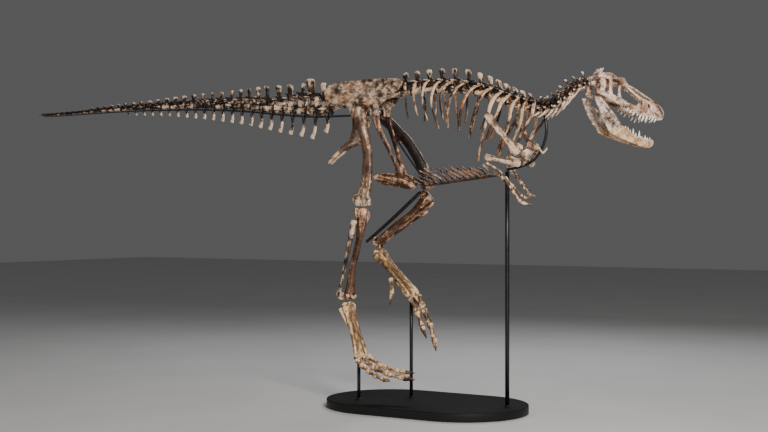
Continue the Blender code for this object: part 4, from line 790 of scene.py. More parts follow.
def make_sacrum():
    ends = np.linspace(length_at_x(SACRUM_FRONT_X), length_at_x(SACRUM_REAR_X), SACRAL_COUNT + 1)
    shells = []
    for first, second in zip(ends, ends[1:]):
        spot = spot_between(first, second, level=True)
        h, l = spot.half, spot.length
        reach = ilium_y(spot.centre[2] + h * 0.5) - 0.017
        shells += [spot.centrum(0.001, 0.80), spot.arch(1.5, 0.45),
                   *spot.wings(reach, h * 0.40, l * 0.24, 0.015),
                   spot.spine(h * 1.1, 0.086, l * 0.40, 0.012, flare=1.2)]
    piece("sacrum_bones", shells, DARK, "dark_bone", "sacrum")


# ---------------------------------------------------------------- the hips

# The hip blade from rear to front: x, lower edge, upper edge, half thickness
BLADE = mm(((-982, 2712, 2758, 9), (-945, 2655, 2803, 11), (-830, 2636, 2830, 12), (-730, 2606, 2837, 12),
            (-650, 2612, 2838, 12.5), (-560, 2620, 2840, 12.5), (-470, 2608, 2841, 12.5),
            (-400, 2600, 2841, 12.5), (-350, 2645, 2841, 12), (-285, 2692, 2836, 11.5),
            (-215, 2740, 2827, 10), (-184, 2778, 2806, 8)))
PUBIS = mm(((-442, 112, 2508, 22, 34), (-415, 100, 2420, 16, 26), (-340, 70, 2250, 15, 21),
            (-270, 38, 2090, 15, 23), (-230, 24, 1985, 18, 40)))
PUBIS_BOOT = mm(((-515, 20.5, 1988, 8, 12), (-440, 20.5, 1976, 18, 44), (-320, 20.5, 1962, 18.5, 56),
                 (-210, 20.5, 1948, 18.5, 62), (-130, 20.5, 1920, 18, 38), (-105, 20.5, 1915, 10, 18)))
ISCHIUM = mm(((-648, 108, 2500, 20, 30), (-664, 92, 2420, 14, 26), (-705, 76, 2340, 12, 18),
              (-820, 50, 2255, 12, 16), (-985, 22, 2125, 14, 18)))
ISCHIUM_FLANGE = mm(((-655, 94, 2410, 8, 12), (-650, 78, 2330, 7, 22), (-735, 62, 2285, 6, 10),
                     (-800, 52, 2262, 5, 6)))


def on_blade(rows):
    """Rows of x, z, distance off the blade's middle, half width and half depth in mm, as rows for bone()."""
    return [(x, ilium_y(z) + out, z, wide, deep) for x, z, out, wide, deep in mm(rows)]


def make_hips():
    low, high = ([(row[0], ilium_y(row[c]), row[c]) for row in BLADE] for c in (1, 2))
    socket = [(HIP_X + 0.081 * math.cos(a), ilium_y(HIP_Z) + 0.004, HIP_Z + 0.081 * math.sin(a), 0.012, 0.010)
              for a in np.radians(np.linspace(-12, 192, 9))]
    edge = [(x, ilium_y(top - 0.008), top - 0.008, 0.0095, 0.008) for x, _, top, _ in BLADE[1:-1]]
    ilium = join([plate(low, high, BLADE[:, 3], (0.0, 1.0, 0.10), 44, sides=28, square=0.25, rough=0.035,
                        lump=0.05, bulge=0.05, wear=(0.8, 0.4, 0.4, 0.4, 0.8)),
                  bone(on_blade(((-585, 2632, 4, 16, 11), (-555, 2720, 6, 14, 9), (-530, 2800, 3, 24, 7))),
                       10, AHEAD, sides=10, rough=0.15, wear=(0.6, 0.9)),
                  bone(socket, 24, sides=10, rough=0.12, wear=0.5),
                  *(bone(on_blade(rows), 8, sides=12, rough=0.08, wear=(0.3, 0.5))
                    for rows in (((-438, 2640, 0, 14, 36), (-440, 2575, 0, 12.5, 30),
                                  (-447, 2520, 0, 12.5, 22)),
                                 ((-685, 2650, 0, 14, 36), (-683, 2575, 0, 12.5, 32),
                                  (-672, 2521, 0, 12.5, 20)))),
                  bone(edge, 30, sides=8, rough=0.22, lump=0.02, wear=1.0)])
    for side, hand in (("left", 1), ("right", -1)):
        piece("hip_blade_" + side, [ilium if hand > 0 else ilium.mirrored()], HIP_BONE, "warm_bone",
              "ilium_" + side)
        shaft = bone(side_of(PUBIS, hand), 24, sides=12, rough=0.10, wear=(0.5, 0.3, 0.3, 0.6))
        boot = bone(side_of(PUBIS_BOOT, hand), 22, sides=14, rough=0.10, wear=(0.9, 0.5, 0.4, 0.7))
        piece("pubis_bone_" + side, [shaft, boot], RED, "warm_bone", "pubis_" + side)
        rod = bone(side_of(ISCHIUM, hand), 20, sides=12, rough=0.09, wear=(0.5, 0.4, 0.8))
        flange = bone(side_of(ISCHIUM_FLANGE, hand), 10, sides=8, rough=0.1, wear=0.6)
        piece("ischium_bone_" + side, [rod, flange], LEG, "warm_bone", "ischium_" + side)


# ---------------------------------------------------------------- the legs

# Long bones: share of the length, then in mm the shift to the front, half width and half depth
FEMUR = ((-0.055, -5, 20, 22), (-0.02, 0, 36, 46), (0.06, 10, 39, 54), (0.14, 22, 36, 53), (0.28, 44, 34, 47),
         (0.43, 62, 34, 46), (0.58, 55, 35, 47), (0.70, 44, 36, 51), (0.82, 20, 44, 57), (0.90, 4, 50, 60))
TIBIA = ((0.008, 0, 44, 58), (0.05, 2, 50, 66), (0.10, 6, 45, 58), (0.16, 10, 37, 48), (0.24, 10, 31, 38),
         (0.34, 9, 27, 31), (0.50, 1, 26, 29), (0.66, -8, 27, 29), (0.78, -5, 32, 33), (0.88, 0, 42, 40),
         (0.945, 0, 52, 44))
FIBULA = ((0.0, 0, 12, 30), (0.03, 0, 13.5, 35), (0.08, 2, 13, 33), (0.22, 0, 12, 26), (0.50, 0, 11, 20),
          (0.90, 0, 11, 19), (0.98, 0, 15, 29))
METATARSAL = ((0.0, 12, 23, 50), (0.04, 12, 27, 60), (0.12, 12, 24, 49), (0.22, 12, 20, 37),
              (0.35, 12, 18, 30), (0.60, 11, 18, 28), (0.86, 6, 24, 33), (0.95, 3, 25, 35), (1.0, 0, 20, 27))
SPLINT = ((0.02, 0, 11, 20), (0.10, 0, 10, 16), (0.20, 0, 9, 12), (0.38, 0, 5, 7))
# A leg's points in mm: hip, knee, top of the shin, ankle, both ends of the fibula, instep, ball of the foot.
# A toe: its number, how many bones it has, its half thickness, the share of it that is claw, and its line.
LEGS = {"right": {"hand": -1, "tones": (LEG, SHIN, DARK), "reach": 0.018, "across": (0.0, 1.0, 0.0),
                  "points": ((-562, -172, 2545), (-508, -190, 1728), (-515, -190, 1714), (-658, -200, 930),
                             (-556, -266, 1610), (-710, -284, 945), (-672, -210, 872), (-505, -236, 450)),
                  "toes": ((2, 2, 26, 0.30,
                            ((-462, -172, 434), (-305, -165, 355), (-166, -164, 330), (-14, -162, 322))),
                           (3, 3, 31, 0.22,
                            ((-472, -239, 414), (-345, -240, 346), (-179, -240, 302), (29, -240, 276))),
                           (4, 4, 27, 0.20,
                            ((-490, -304, 412), (-392, -314, 338), (-283, -320, 290), (-163, -322, 262))),
                           (1, 1, 22, 0.48, ((-545, -140, 500), (-592, -142, 458), (-640, -146, 400))))},
        # The left thigh and shin take darker finishes than the right's: painted shade for the far leg.
        "left": {"hand": 1, "tones": (LEG_IN_SHADE, RED, RED), "reach": 0.024, "across": (0.17, 0.98, 0.0),
                 "points": ((-562, 172, 2545), (-47, 200, 1897), (-76, 205, 1825), (-618, 185, 1395),
                            (-150, 277, 1712), (-622, 266, 1388), (-582, 166, 1310), (-190, 95, 972)),
                 "toes": ((2, 2, 29, 0.30, ((-154, 24, 936), (-100, 24, 828), (-50, 22, 700), (-4, 20, 600))),
                          (3, 3, 31, 0.22, ((-152, 92, 934), (-45, 90, 790), (20, 85, 640), (56, 78, 490))),
                          (4, 4, 27, 0.20,
                           ((-158, 160, 940), (-92, 162, 790), (-34, 160, 655), (15, 152, 535))),
                          (1, 1, 21, 0.42, ((-372, 36, 1112), (-362, 40, 1000), (-394, 50, 870))))}}
# Along a toe bone: share of its length, half width by its half thickness, and depth by width
TOE_BONE = ((0.02, 0.85, 1.15), (0.10, 0.98, 1.20), (0.24, 0.80, 1.10), (0.48, 0.60, 1.02),
            (0.72, 0.68, 1.06), (0.88, 0.92, 1.15), (0.96, 0.78, 1.05))
# Along a claw: share of its length from its tip, and half width by its half thickness
CLAW = ((0.98, 0.85), (0.88, 1.05), (0.62, 0.86), (0.36, 0.60), (0.14, 0.34), (0.0, 0.10))


def toe(path, bones, thick, claw, across=LEFT, sides=12):
    """A digit: each bone a spool along the path, its last stretch a claw that curves to a point."""
    fine = course(path, 90)
    stretch = (1.0 - claw) / bones
    shells = []

    def along(share):
        return fine[min(89, max(0, round(share * 89)))]

    for number in range(bones):
        size = thick * (1.0 - 0.28 * number / bones)
        rows = [(*along((number + share) * stretch), size * fat, size * fat * deep)
                for share, fat, deep in TOE_BONE]
        shells.append(bone(rows, 12, across, sides=sides, rough=0.11, lump=0.02, bulge=0.2,
                           wear=(1.0, 0.5, 0.2, 0.5, 1.0)))
    last = thick * 0.62
    rows = [(*along(1.0 - claw * share), last * fat, last * fat * 1.40) for share, fat in CLAW]
    shells.append(bone(rows, 14, across, sides=sides, rough=0.05, bulge=0.3, wear=(1.0, 0.5, 0.1, -0.4)))
    return shells


class Limb:
    """A thigh's or a shin's own axes: share of its length from its top, then to its front and outwards."""

    def __init__(self, top, foot, hand):
        self.top, self.way, self.out = top, foot - top, LEFT * hand
        self.axis = unit(self.way)
        self.front = unit(np.cross(self.axis, LEFT))

    def at(self, share, front=0.0, outward=0.0):
        return self.top + self.way * share + self.front * front + self.out * outward

    def bone(self, rows, rings=8, across=LEFT, sides=12, rough=0.08, **more):
        """A bone through rows of share, then in mm front, outward, half width and half depth."""
        keys = [(*self.at(share, front / 1000, outward / 1000), *mm(size))
                for share, front, outward, *size in rows]
        return bone(keys, rings, across, sides=sides, rough=rough, **more)


def thigh_bones(hip, knee, hand):
    thigh = Limb(hip, knee, hand)
    head = [(*(hip - thigh.out * inward + UP * up), size, size) for inward, up, size in
            mm(((0, -2, 34), (33, 2, 36), (62, 4, 36)))]
    return [length_bone(hip, knee, FEMUR, rings=34, sides=16, rough=0.07, lump=0.05,
                        wear=(0.7, 0.3, 0.15, 0.2, 0.6)),
            bone(head, 9, UP, sides=16, rough=0.05, bulge=0.55, wear=(0.3, 0.8)),
            thigh.bone(((-0.035, 34, 4, 12, 14), (0.03, 46, 6, 13, 17), (0.10, 52, 4, 10, 12)), sides=10,
                       rough=0.14, wear=0.8),
            thigh.bone(((0.28, 12, -12, 7, 8), (0.35, 10, -12, 10, 13), (0.42, 20, -12, 6, 8)), sides=8,
                       rough=0.15, wear=0.7),
            thigh.bone(((0.87, -58, 22, 14, 12), (0.905, -78, 24, 16, 18), (0.945, -70, 22, 14, 16)), 7,
                       sides=10, rough=0.12, wear=(0.4, 1.0)),
            *(thigh.bone(((0.84, 12, off * 0.7, 18, 36), (0.90, 0, off, 23, 54), (0.955, -8, off, 27, 68),
                          (0.985, -10, off, 22, 54)), 10, sides=14, bulge=0.12, wear=(0.3, 0.6, 1.0))
              for off in (30, -30))]


def shin_bones(top, ankle, hand, fibula_foot):
    shin = Limb(top, ankle, hand)
    link = [(*shin.at(0.965), 0.026, 0.030), (*(shin.at(0.985) * 0.5 + fibula_foot * 0.5), 0.024, 0.026),
            (*fibula_foot, 0.014, 0.022)]
    return [length_bone(top, ankle, TIBIA, rings=34, sides=16, rough=0.06, lump=0.05,
                        wear=(0.8, 0.3, 0.15, 0.2, 0.6)),
            shin.bone(((0.018, 54, 6, 14, 16), (0.055, 58, 4, 15, 22), (0.13, 46, 0, 11, 18),
                       (0.22, 30, 0, 8, 12)), 12, rough=0.12, wear=(1.0, 0.8, 0.3)),
            shin.bone([(0.966, 4, w, r, r * 1.3)
                       for w, r in ((-50, 21), (-35, 29), (-8, 23), (22, 28), (50, 22))], 14, shin.axis,
                      sides=14, rough=0.06, wear=0.9),
            shin.bone(((0.83, 26, 0, 12, 4), (0.90, 34, 0, 30, 6), (0.955, 36, 0, 40, 8)), sides=10,
                      rough=0.06, wear=0.7),
            bone(link, 8, shin.axis, rough=0.08, wear=0.8),
            *(shin.bone(((0.012, back, off, 22, 26), (0.05, back * 0.95, off, 23, 30),
                         (0.12, back * 0.6, off * 0.7, 14, 18)), wear=(1.0, 0.4))
              for back, off in ((-44, 30), (-46, -28))),
            *(shin.bone(((share, front, w, 15, 18), (share + 0.018, front, w * 0.3, 18, 22),
                         (share + 0.006, front, -w, 14, 17)), across=shin.axis, rough=0.10, wear=1.0)
              for share, front, w in ((0.950, -42, 30), (0.952, 40, 34)))]


def foot_bones(top, ball, leg):
    """Three long bones packed side by side, the ankle's small bones on them, and the splint behind."""
    across, rows = np.array(leg["across"]), np.array(METATARSAL)
    rise = unit(top - ball)
    back = unit(np.cross(rise, across))
    shells = []
    for above, below, drop, share, shift in ((0.024, 0.050, 0.012, 0.62, 0.36), (0.0, 0.0, 0.0, 1.0, 0.0),
                                             (-0.026, -0.054, 0.014, 0.62, -0.36)):
        own = np.column_stack([rows[:, 0], rows[:, 1] + shift * rows[:, 3], rows[:, 2], rows[:, 3] * share])
        shells.append(length_bone(top + across * above, ball + across * below + rise * (drop - leg["reach"]),
                                  own, across, 24, sides=14, square=0.15, rough=0.09, lump=0.03,
                                  wear=(0.9, 0.4, 0.3, 0.4, 1.0)))
    hump = np.array((0.86, 1.0, 0.84))[:, None]
    for w, front, size in mm(((30, 14, 36), (-12, -10, 40), (-40, 10, 26))):
        middle = top + rise * 0.014 + across * w - back * front
        shells.append(loft([middle - rise * 0.010, middle, middle + rise * 0.009], across * size * 0.6 * hump,
                           back * size * hump, 14, rough=0.12, lump=0.03, wear=1.0))
    behind = top + across * (leg["hand"] * 0.046) + back * 0.043
    shells.append(length_bone(behind, behind + (ball - top) - back * 0.06, SPLINT, across, 14, sides=10,
                              wear=(1.0, 0.6)))
    return shells


def make_legs():
    for side, leg in LEGS.items():
        hip, knee, shin, ankle, fibula_top, fibula_foot, instep, ball = mm(leg["points"])
        thigh_tone, shin_tone, fibula_tone = leg["tones"]
        piece("thigh_bone_" + side, thigh_bones(hip, knee, leg["hand"]), thigh_tone, "warm_bone",
              "femur_" + side)
        piece("shin_bone_" + side, shin_bones(shin, ankle, leg["hand"], fibula_foot), shin_tone, "warm_bone",
              "tibia_" + side)
        fibula = length_bone(fibula_top, fibula_foot, FIBULA, rings=26, sides=10, rough=0.08,
                             wear=(0.8, 0.4, 0.5, 0.8))
        piece("splint_bone_" + side, [fibula], fibula_tone, "warm_bone", "fibula_" + side)
        piece("long_foot_bones_" + side, foot_bones(instep, ball, leg), GOLD, "pale_bone",
              "metatarsus_" + side)
        for number, bones, thick, claw, path in leg["toes"]:
            path = mm(path)
            if number != 1:
                path[0] += (path[0] - path[1]) * 0.12
            piece(f"toe_bones_{number}_{side}", toe(path, bones, thick / 1000, claw, leg["across"]), TOE,
                  "pale_bone", f"toe_{number}_{side}")


# ---------------------------------------------------------------- the arms and the belly

# The shoulder blades and the coracoid plates: x, distance from the midplane, z, half breadth, half thickness
SHOULDERS = {"right": (((690, 224, 2478, 26, 6), (715, 228, 2452, 31, 7), (800, 232, 2352, 25, 8),
                        (875, 224, 2264, 26, 9), (927, 206, 2208, 47, 12), (952, 193, 2174, 64, 13),
                        (964, 186, 2160, 50, 11)),
                       ((945, 186, 2174, 26, 9), (985, 174, 2150, 30, 8), (1016, 148, 2138, 86, 9),
                        (1012, 105, 2132, 102, 9), (996, 62, 2124, 86, 7))),
             "left": (((735, 224, 2455, 26, 6), (757, 228, 2430, 31, 7), (815, 232, 2345, 25, 8),
                       (865, 224, 2270, 29, 9), (900, 206, 2222, 52, 12), (920, 193, 2196, 60, 13),
                       (932, 186, 2182, 48, 11)),
                      ((913, 186, 2194, 26, 9), (945, 174, 2166, 30, 8), (970, 148, 2146, 80, 9),
                       (986, 105, 2136, 98, 9), (986, 62, 2126, 84, 7)))}
BLADE_BREADTH, CORACOID_BREADTH = (0.76, 0.0, 0.65), (0.60, 0.0, 0.80)
HUMERUS = ((0.0, 0, 20, 24), (0.03, 0, 26, 31), (0.10, 0, 26, 32), (0.28, 0, 20, 29), (0.45, 0, 17, 22),
           (0.6, 0, 16, 20), (0.78, 0, 19, 23), (0.9, 0, 24, 27), (0.97, 0, 22, 25), (1.0, 0, 17, 18))
RADIUS = ((0.0, 0, 15, 14), (0.15, 4, 13, 12), (0.5, 9, 11, 10), (0.85, 4, 13, 12), (1.0, 0, 15, 13))
ULNA = ((0.0, 0, 16, 17), (0.2, -4, 14, 15), (0.5, -9, 11, 12), (1.0, 0, 14, 13))
# A finger's line from the wrist to the tip of its claw, forward and up
FINGER = mm(((20, -12), (64, -76), (118, -148), (172, -212), (225, -230), (270, -232)))


def make_finger(wrist, side_shift, inward, size, turn):
    """A finger, from the wrist: smaller by size, turned up by turn."""
    path = [wrist + ((forward * math.cos(turn) - up * math.sin(turn)) * size, side_shift + inward * forward,
                     (up * math.cos(turn) + forward * math.sin(turn)) * size) for forward, up in FINGER]
    return toe(path, 2, 0.0165 * size, 0.30, sides=10)


def make_arm(side, hand, shift, hand_shift, size):
    def at(x, y, z):
        return mm((x, hand * y, z))

    flat = {"sides": 16, "square": 0.2, "rough": 0.06, "lump": 0.04}
    blade, coracoid = (side_of(mm(rows), hand) for rows in SHOULDERS[side])
    piece("shoulder_blade_" + side, [bone(blade, 30, BLADE_BREADTH, wear=(0.8, 0.5, 0.5, 0.7, 0.9), **flat),
                                     bone(coracoid, 20, CORACOID_BREADTH, wear=(0.4, 0.6, 0.9), **flat)],
          LEG, "warm_bone", "shoulder_" + side)
    start, end = at(985, 214, 2070) + mm(shift), at(678, 225, 2130) + mm(shift) * 0.3
    ridge = [(*(start + (end - start) * share - UP * fall), 0.008, 0.010) for share, fall in
             ((0.10, 0.020), (0.20, 0.024), (0.32, 0.016))]
    piece("upper_arm_" + side,
          [length_bone(start, end, HUMERUS, rings=26, sides=14, rough=0.08, wear=(0.9, 0.4, 0.3, 0.8)),
           bone(ridge, 7, sides=8, rough=0.1, wear=0.8)], LEG, "warm_bone", "humerus_" + side)
    elbow, wrist = at(672, 222, 2068), at(806, 195, 1984) + mm(hand_shift)
    piece("lower_arm_" + side,
          [length_bone(elbow + mm(top), wrist + mm(foot), rows, rings=16, sides=10, wear=(0.9, 0.5, 0.9))
           for rows, top, foot in ((RADIUS, (20, 0, 6), (10, 0, 8)), (ULNA, (-4, 0, 2), (-7, 0, -7)))], LEG,
          "warm_bone", "forearm_" + side)
    wrist = wrist + mm((8, 0, -10))
    carpus = [bone([(*(wrist + (x, y, z)), wide, wide * 0.9) for x, z, wide in
                    mm(((6, -4, 11), (18, -22, 16), (30, -40, 12)))], 7, sides=10, rough=0.15, wear=0.9)
              for y in (0.006, -0.006)]
    fingers = (make_finger(wrist, hand * 0.012, -hand * 0.13, size, 0.0)
               + make_finger(wrist, hand * -0.018, -hand * 0.26, size * 0.86, 0.10))
    piece("hand_bones_" + side, carpus + fingers, TOE, "pale_bone", "hand_" + side)


def make_arms():
    make_arm("right", -1, (0, 0, 0), (0, 0, 0), 1.0)
    make_arm("left", 1, (-72, 0, 12), (-66, -12, 30), 0.80)
    wishbone = [(1.090, y, 2.160 + 0.042 * (abs(y) / 0.080)**1.3, 0.0072, 0.0066)
                for y in np.linspace(-0.079, 0.079, 9)]
    piece("wishbone", [bone(wishbone, 22, UP, sides=10, wear=1.0)], LEG, "warm_bone", "furcula")


BELLY_RIBS, BELLY_LENGTH = 12, 0.620


def make_belly():
    """Belly ribs: rods out and up from the middle line, a little uneven in length and tilt."""
    pitch = BELLY_LENGTH / (BELLY_RIBS - 1)
    rods = []
    for number in range(BELLY_RIBS):
        share, odd = number / (BELLY_RIBS - 1), math.sin(2.4 * number)
        reach = between(share, (0.0, 0.08), (0.3, 0.14), (0.7, 0.15), (1.0, 0.11)) - 0.004
        reach *= 1.0 - 0.08 * abs(odd)
        lift = between(share, (0.0, 0.08), (0.3, 0.125), (0.7, 0.125), (1.0, 0.09)) * (1.0 - 0.10 * abs(odd))
        x, keel = pitch * number, 1.905 + 0.070 * share
        rods.append(bone([(x + pitch * 1.1, 0.0125, keel + 0.007, 0.0062), (x, 0.0150, keel + 0.006, 0.0074),
                          (x - 0.040, 0.26 * reach, keel + 0.20 * lift + 0.003 * odd, 0.0068),
                          (x - 0.075, 0.5 * reach, keel + 0.44 * lift, 0.0076),
                          (x - 0.125, 0.76 * reach, keel + 0.72 * lift + 0.004 * odd, 0.0062),
                          (x - 0.166, reach, keel + lift, 0.0042)], 16, sides=8, rough=0.16, lump=0.018,
                         wear=(0.3, 0.0, 0.3, 0.0, 0.7)))
    rods = join(rods)
    piece("belly_ribs_left", [rods], RIB, "dark_bone", "gastralia_left")
    piece("belly_ribs_right", [rods.mirrored()], RIB, "dark_bone", "gastralia_right")


# ---------------------------------------------------------------- the head

HEAD_YAW, SKULL_PITCH, JAW_PITCH = np.radians((50.0, 20.0, 38.8))
# Rows of the skull's outside: s, floor, roof, half width at the floor, half width at the roof
SKULL_ROWS = mm(((-45, -60, 100, 108, 60), (0, -88, 124, 126, 88), (75, -88, 138, 126, 94),
                 (150, -92, 130, 114, 76), (235, -86, 110, 98, 46), (330, -94, 102, 82, 36),
                 (450, -94, 81, 66, 30), (560, -62, 67, 50, 26), (620, -44, 46, 32, 18),
                 (654, -30, 6, 14, 8)))
# Rows of the lower jaw: s, lower edge, upper edge, distance out of its middle line
JAW_ROWS = mm(((-30, -22, 4, 108), (30, -50, 32, 112), (100, -86, 16, 108), (170, -114, 8, 101),
               (240, -138, -6, 93), (320, -122, -10, 80), (430, -80, 4, 60), (510, -50, 22, 46),
               (575, -22, 58, 34), (632, 12, 82, 20), (662, 56, 86, 10)))
# Teeth: place along the jaw, length and half breadth
UPPER_TEETH = mm(((286, 20, 6.8), (319, 28, 7.8), (352, 36, 9), (390, 24, 8.2), (419, 46, 10),
                  (451, 51, 10.2), (484, 49, 10), (515, 26, 8.2), (543, 45, 9.4), (572, 43, 9.2),
                  (600, 22, 7), (620, 18, 5), (637, 16, 4.6)))
LOWER_TEETH = mm(((352, 12, 5.6), (380, 18, 6), (408, 14, 6), (438, 36, 9.2), (470, 18, 6.6), (502, 50, 9.8),
                  (534, 16, 6.2), (560, 28, 8.4), (586, 18, 6), (606, 26, 6.4), (630, 18, 5.2),
                  (645, 14, 4.6)))
# How far the bars lie inside the skull's outside, and the least a tooth stands off the middle line
SKIN, TOOTH_OUT = 0.001, 0.006


def edge_at(rows, s, column):
    return float(np.interp(s, rows[:, 0], rows[:, column]))


def cheek_out(s, h):
    """Half the skull's width at s and h: straight lines up the side between its four corners."""
    low, top, wide, narrow = (edge_at(SKULL_ROWS, s, column) for column in (1, 2, 3, 4))
    return between((h - low) / (top - low), (0.0, wide), (0.35, wide), (0.8, narrow * 1.12),
                   (1.0, narrow * 0.55))


class Head(Spot):
    """The skull's or the lower jaw's own axes. Rows are in mm; bars and sheets follow its outside, `out`."""

    def __init__(self, at, pitch, out, bar_look, sheet_look):
        flat = math.cos(pitch)
        forward = math.cos(HEAD_YAW) * flat, math.sin(HEAD_YAW) * flat, -math.sin(pitch)
        super().__init__(mm(at), forward, 0, 0)
        self.out, self.bar_look, self.sheet_look = out, bar_look, sheet_look

    def rod(self, rows, rings, across=None, **more):
        """One bone through rows of s, distance to the left, h, half width and half depth."""
        return self.bone(mm(rows), rings, self.s if across is None else across, **more)

    def rods(self, rows, rings, across=None, **more):
        """The same on the left and the right."""
        return self.both(mm(rows), rings, self.s if across is None else across, **more)

    def bar(self, rows, rings=12, **more):
        """A bone in each side through rows of s, h, half width up the side and half thickness."""
        keys = [(s, self.out(s, h, thick), h, thick, half) for s, h, half, thick in mm(rows)]
        return self.both(keys, rings, self.s, **{**self.bar_look, **more})

    def sheet(self, lows, highs, thick, rings=24, **more):
        """A flat bone in each side between a lower and an upper edge of s and h."""
        thick = mm(thick)
        edges = [[(s, self.out(s, h, thick.max()), h) for s, h in mm(edge)] for edge in (lows, highs)]
        return [plate(*(self.at(side_of(edge, hand)) for edge in edges), thick, self.s * hand, rings,
                      **{**self.sheet_look, **more}) for hand in (1, -1)]


skull = Head((1481, 190, 2700), SKULL_PITCH, lambda s, h, thick: cheek_out(s, h) - thick - SKIN,
             {"rough": 0.10, "lump": 0.02},
             {"sides": 24, "square": 0.35, "rough": 0.05, "lump": 0.016, "bulge": 0.1})
jaw = Head((1449, 153, 2589), JAW_PITCH, lambda s, *_: edge_at(JAW_ROWS, s, 3), {},
           {"sides": 24, "square": 0.25, "rough": 0.05, "lump": 0.018, "bulge": 0.15,
            "wear": (0.5, 0.3, 0.5)})


def face():
    """The bones from the eye forward: upper jaw, its rising branch, nose, snout and tear bone."""
    struts = (((420, -26, 18, 9), (430, 2, 17, 8), (426, 36, 16, 8)),
              ((450, -24, 15, 10), (453, 0, 11, 9), (450, 30, 14, 10)),
              ((505, -20, 18, 10), (508, 4, 16, 10), (504, 26, 17, 10)),
              ((536, -12, 18, 10), (540, 8, 16, 10), (538, 22, 14, 10)))
    return [*skull.sheet(((258, -80), (292, -87), (324, -92), (370, -97), (414, -98), (456, -91), (510, -73),
                          (558, -59), (600, -47)),
                         ((262, -50), (300, -43), (345, -43), (385, -30), (415, -14), (455, -8), (490, -3),
                          (530, 6), (575, 10)), 11, 34),
            *skull.bar(((605, -4, 14, 9), (560, 12, 18, 10), (520, 30, 17, 10), (475, 42, 14, 10),
                        (425, 40, 14, 10), (370, 46, 11, 9), (310, 62, 9.5, 8), (250, 76, 10, 8),
                        (190, 90, 13, 10)), 26),
            *(shell for rows in struts for shell in skull.bar(rows, 9)),
            *skull.sheet(((572, -56), (600, -48), (625, -40), (642, -33), (650, -28)),
                         ((572, 4), (598, 2), (622, 0), (638, 2), (648, -4)), (10, 10, 9, 7), 14),
            skull.rod(((646, 0, -20, 9, 8), (643, 0, 12, 9, 7), (622, 0, 36, 10, 6), (590, 0, 54, 12, 6),
                       (545, 0, 64, 18, 7), (480, 0, 73, 24, 9), (420, 0, 81, 26, 9), (350, 0, 93, 30, 10),
                       (290, 0, 99, 34, 10), (235, 0, 100, 42, 10), (180, 0, 110, 52, 12)), 44, sides=16,
                      rough=0.16, lump=0.013),
            *skull.rods(((560, 18, 50, 6, 10), (520, 26, 50, 8, 12), (480, 34, 55, 8, 10)), 8),
            *skull.bar(((208, 84, 16, 12), (176, 96, 22, 14), (157, 70, 15, 12), (153, 30, 12.5, 10),
                        (158, -5, 12.5, 10), (172, -42, 18, 9)), 22),
            *skull.rods(((140, 52, 117, 14, 10), (176, 54, 124, 14, 12), (206, 44, 112, 12, 9),
                         (235, 34, 104, 8, 7)), 12, rough=0.25, lump=0.010)]


def cheek():
    """The bones round and below the eye: the bar behind it, the cheek, and those that hold the jaw joint."""
    return [*skull.bar(((20, 106, 13, 13), (62, 116, 18, 15), (105, 106, 13, 13), (150, 104, 13, 13)), 14,
                       rough=0.2, lump=0.012),
            *skull.bar(((70, 104, 26, 14), (56, 78, 21, 13), (57, 42, 17, 12), (65, 2, 14.5, 11),
                        (78, -34, 16, 10), (94, -64, 20, 9)), 22),
            *skull.sheet(((28, -85), (80, -88), (136, -93), (174, -95), (224, -88), (285, -80)),
                         ((34, -60), (82, -50), (108, -40), (160, -40), (200, -36), (244, -46), (285, -52)),
                         (7, 9, 10, 9, 7), 28),
            *skull.bar(((232, -56, 12, 11), (246, -42, 9, 9)), 5),
            *skull.sheet(((-24, -82), (-20, -50), (-30, 0), (-38, 40), (-36, 68)),
                         ((45, -76), (26, -52), (20, -10), (16, 22), (14, 50)), 10, 22, rough=0.10),
            *skull.bar(((-42, 52, 17, 14), (-22, 72, 19, 14), (22, 80, 17, 13), (56, 84, 18, 12)), 12,
                       rough=0.18),
            *skull.bar(((-20, -72, 14, 14), (6, -74, 12, 14), (34, -72, 10, 10)), 8),
            *skull.rods(((-20, 92, -76, 18, 14), (-26, 84, -40, 12, 12), (-34, 80, 10, 11, 12),
                         (-34, 72, 55, 16, 14)), 12)]


def crest():
    """The thin crest across the back of the skull, its upper edge a little wavy."""
    across = np.linspace(-0.058, 0.058, 9)
    low, high = np.full(9, 0.076), 0.140 + 0.014 * np.cos(across / 0.058 * 2.6)**2
    edges = (np.column_stack([s - 0.10 * np.abs(across), across, h])
             for s, h in ((-0.034, low), (-0.014, high)))
    return plate(*map(skull.at, edges), mm((7, 10, 9, 10, 7)), skull.f, 26, sides=20, square=0.1, rough=0.22,
                 lump=0.011)


def brain_and_palate():
    """The braincase with the crest behind it, the roof over it, and the rods of the palate."""
    return [
        skull.rod(((-38, 0, 40, 42, 40), (-10, 0, 42, 50, 52), (40, 0, 48, 44, 50), (90, 0, 62, 30, 36),
                   (150, 0, 88, 22, 16)), 16, sides=16, rough=0.12),
        skull.rod(((-36, 0, 88, 56, 13), (10, 0, 106, 64, 12), (60, 0, 112, 74, 12), (110, 0, 112, 70, 13),
                   (160, 0, 108, 56, 13), (190, 0, 106, 50, 12)), 18, sides=18, square=0.2, rough=0.10),
        skull.rod(((-30, 0, 12, 20, 20), (-52, 0, 2, 19, 19)), 5, bulge=0.6),
        crest(),
        *skull.rods(((-34, 28, 40, 16, 20), (-40, 64, 36, 9, 16), (-42, 98, 26, 10, 20)), 9, skull.f),
        *skull.rods(((10, 50, -20, 10, 22), (80, 44, -46, 7, 16), (180, 34, -50, 6, 11), (300, 20, -36, 6, 9),
                     (420, 14, -26, 6, 8), (540, 12, -34, 6, 7)), 20),
        *skull.rods(((300, 68, -60, 8, 8), (270, 44, -50, 6, 9), (240, 28, -44, 6, 8)), 8)]


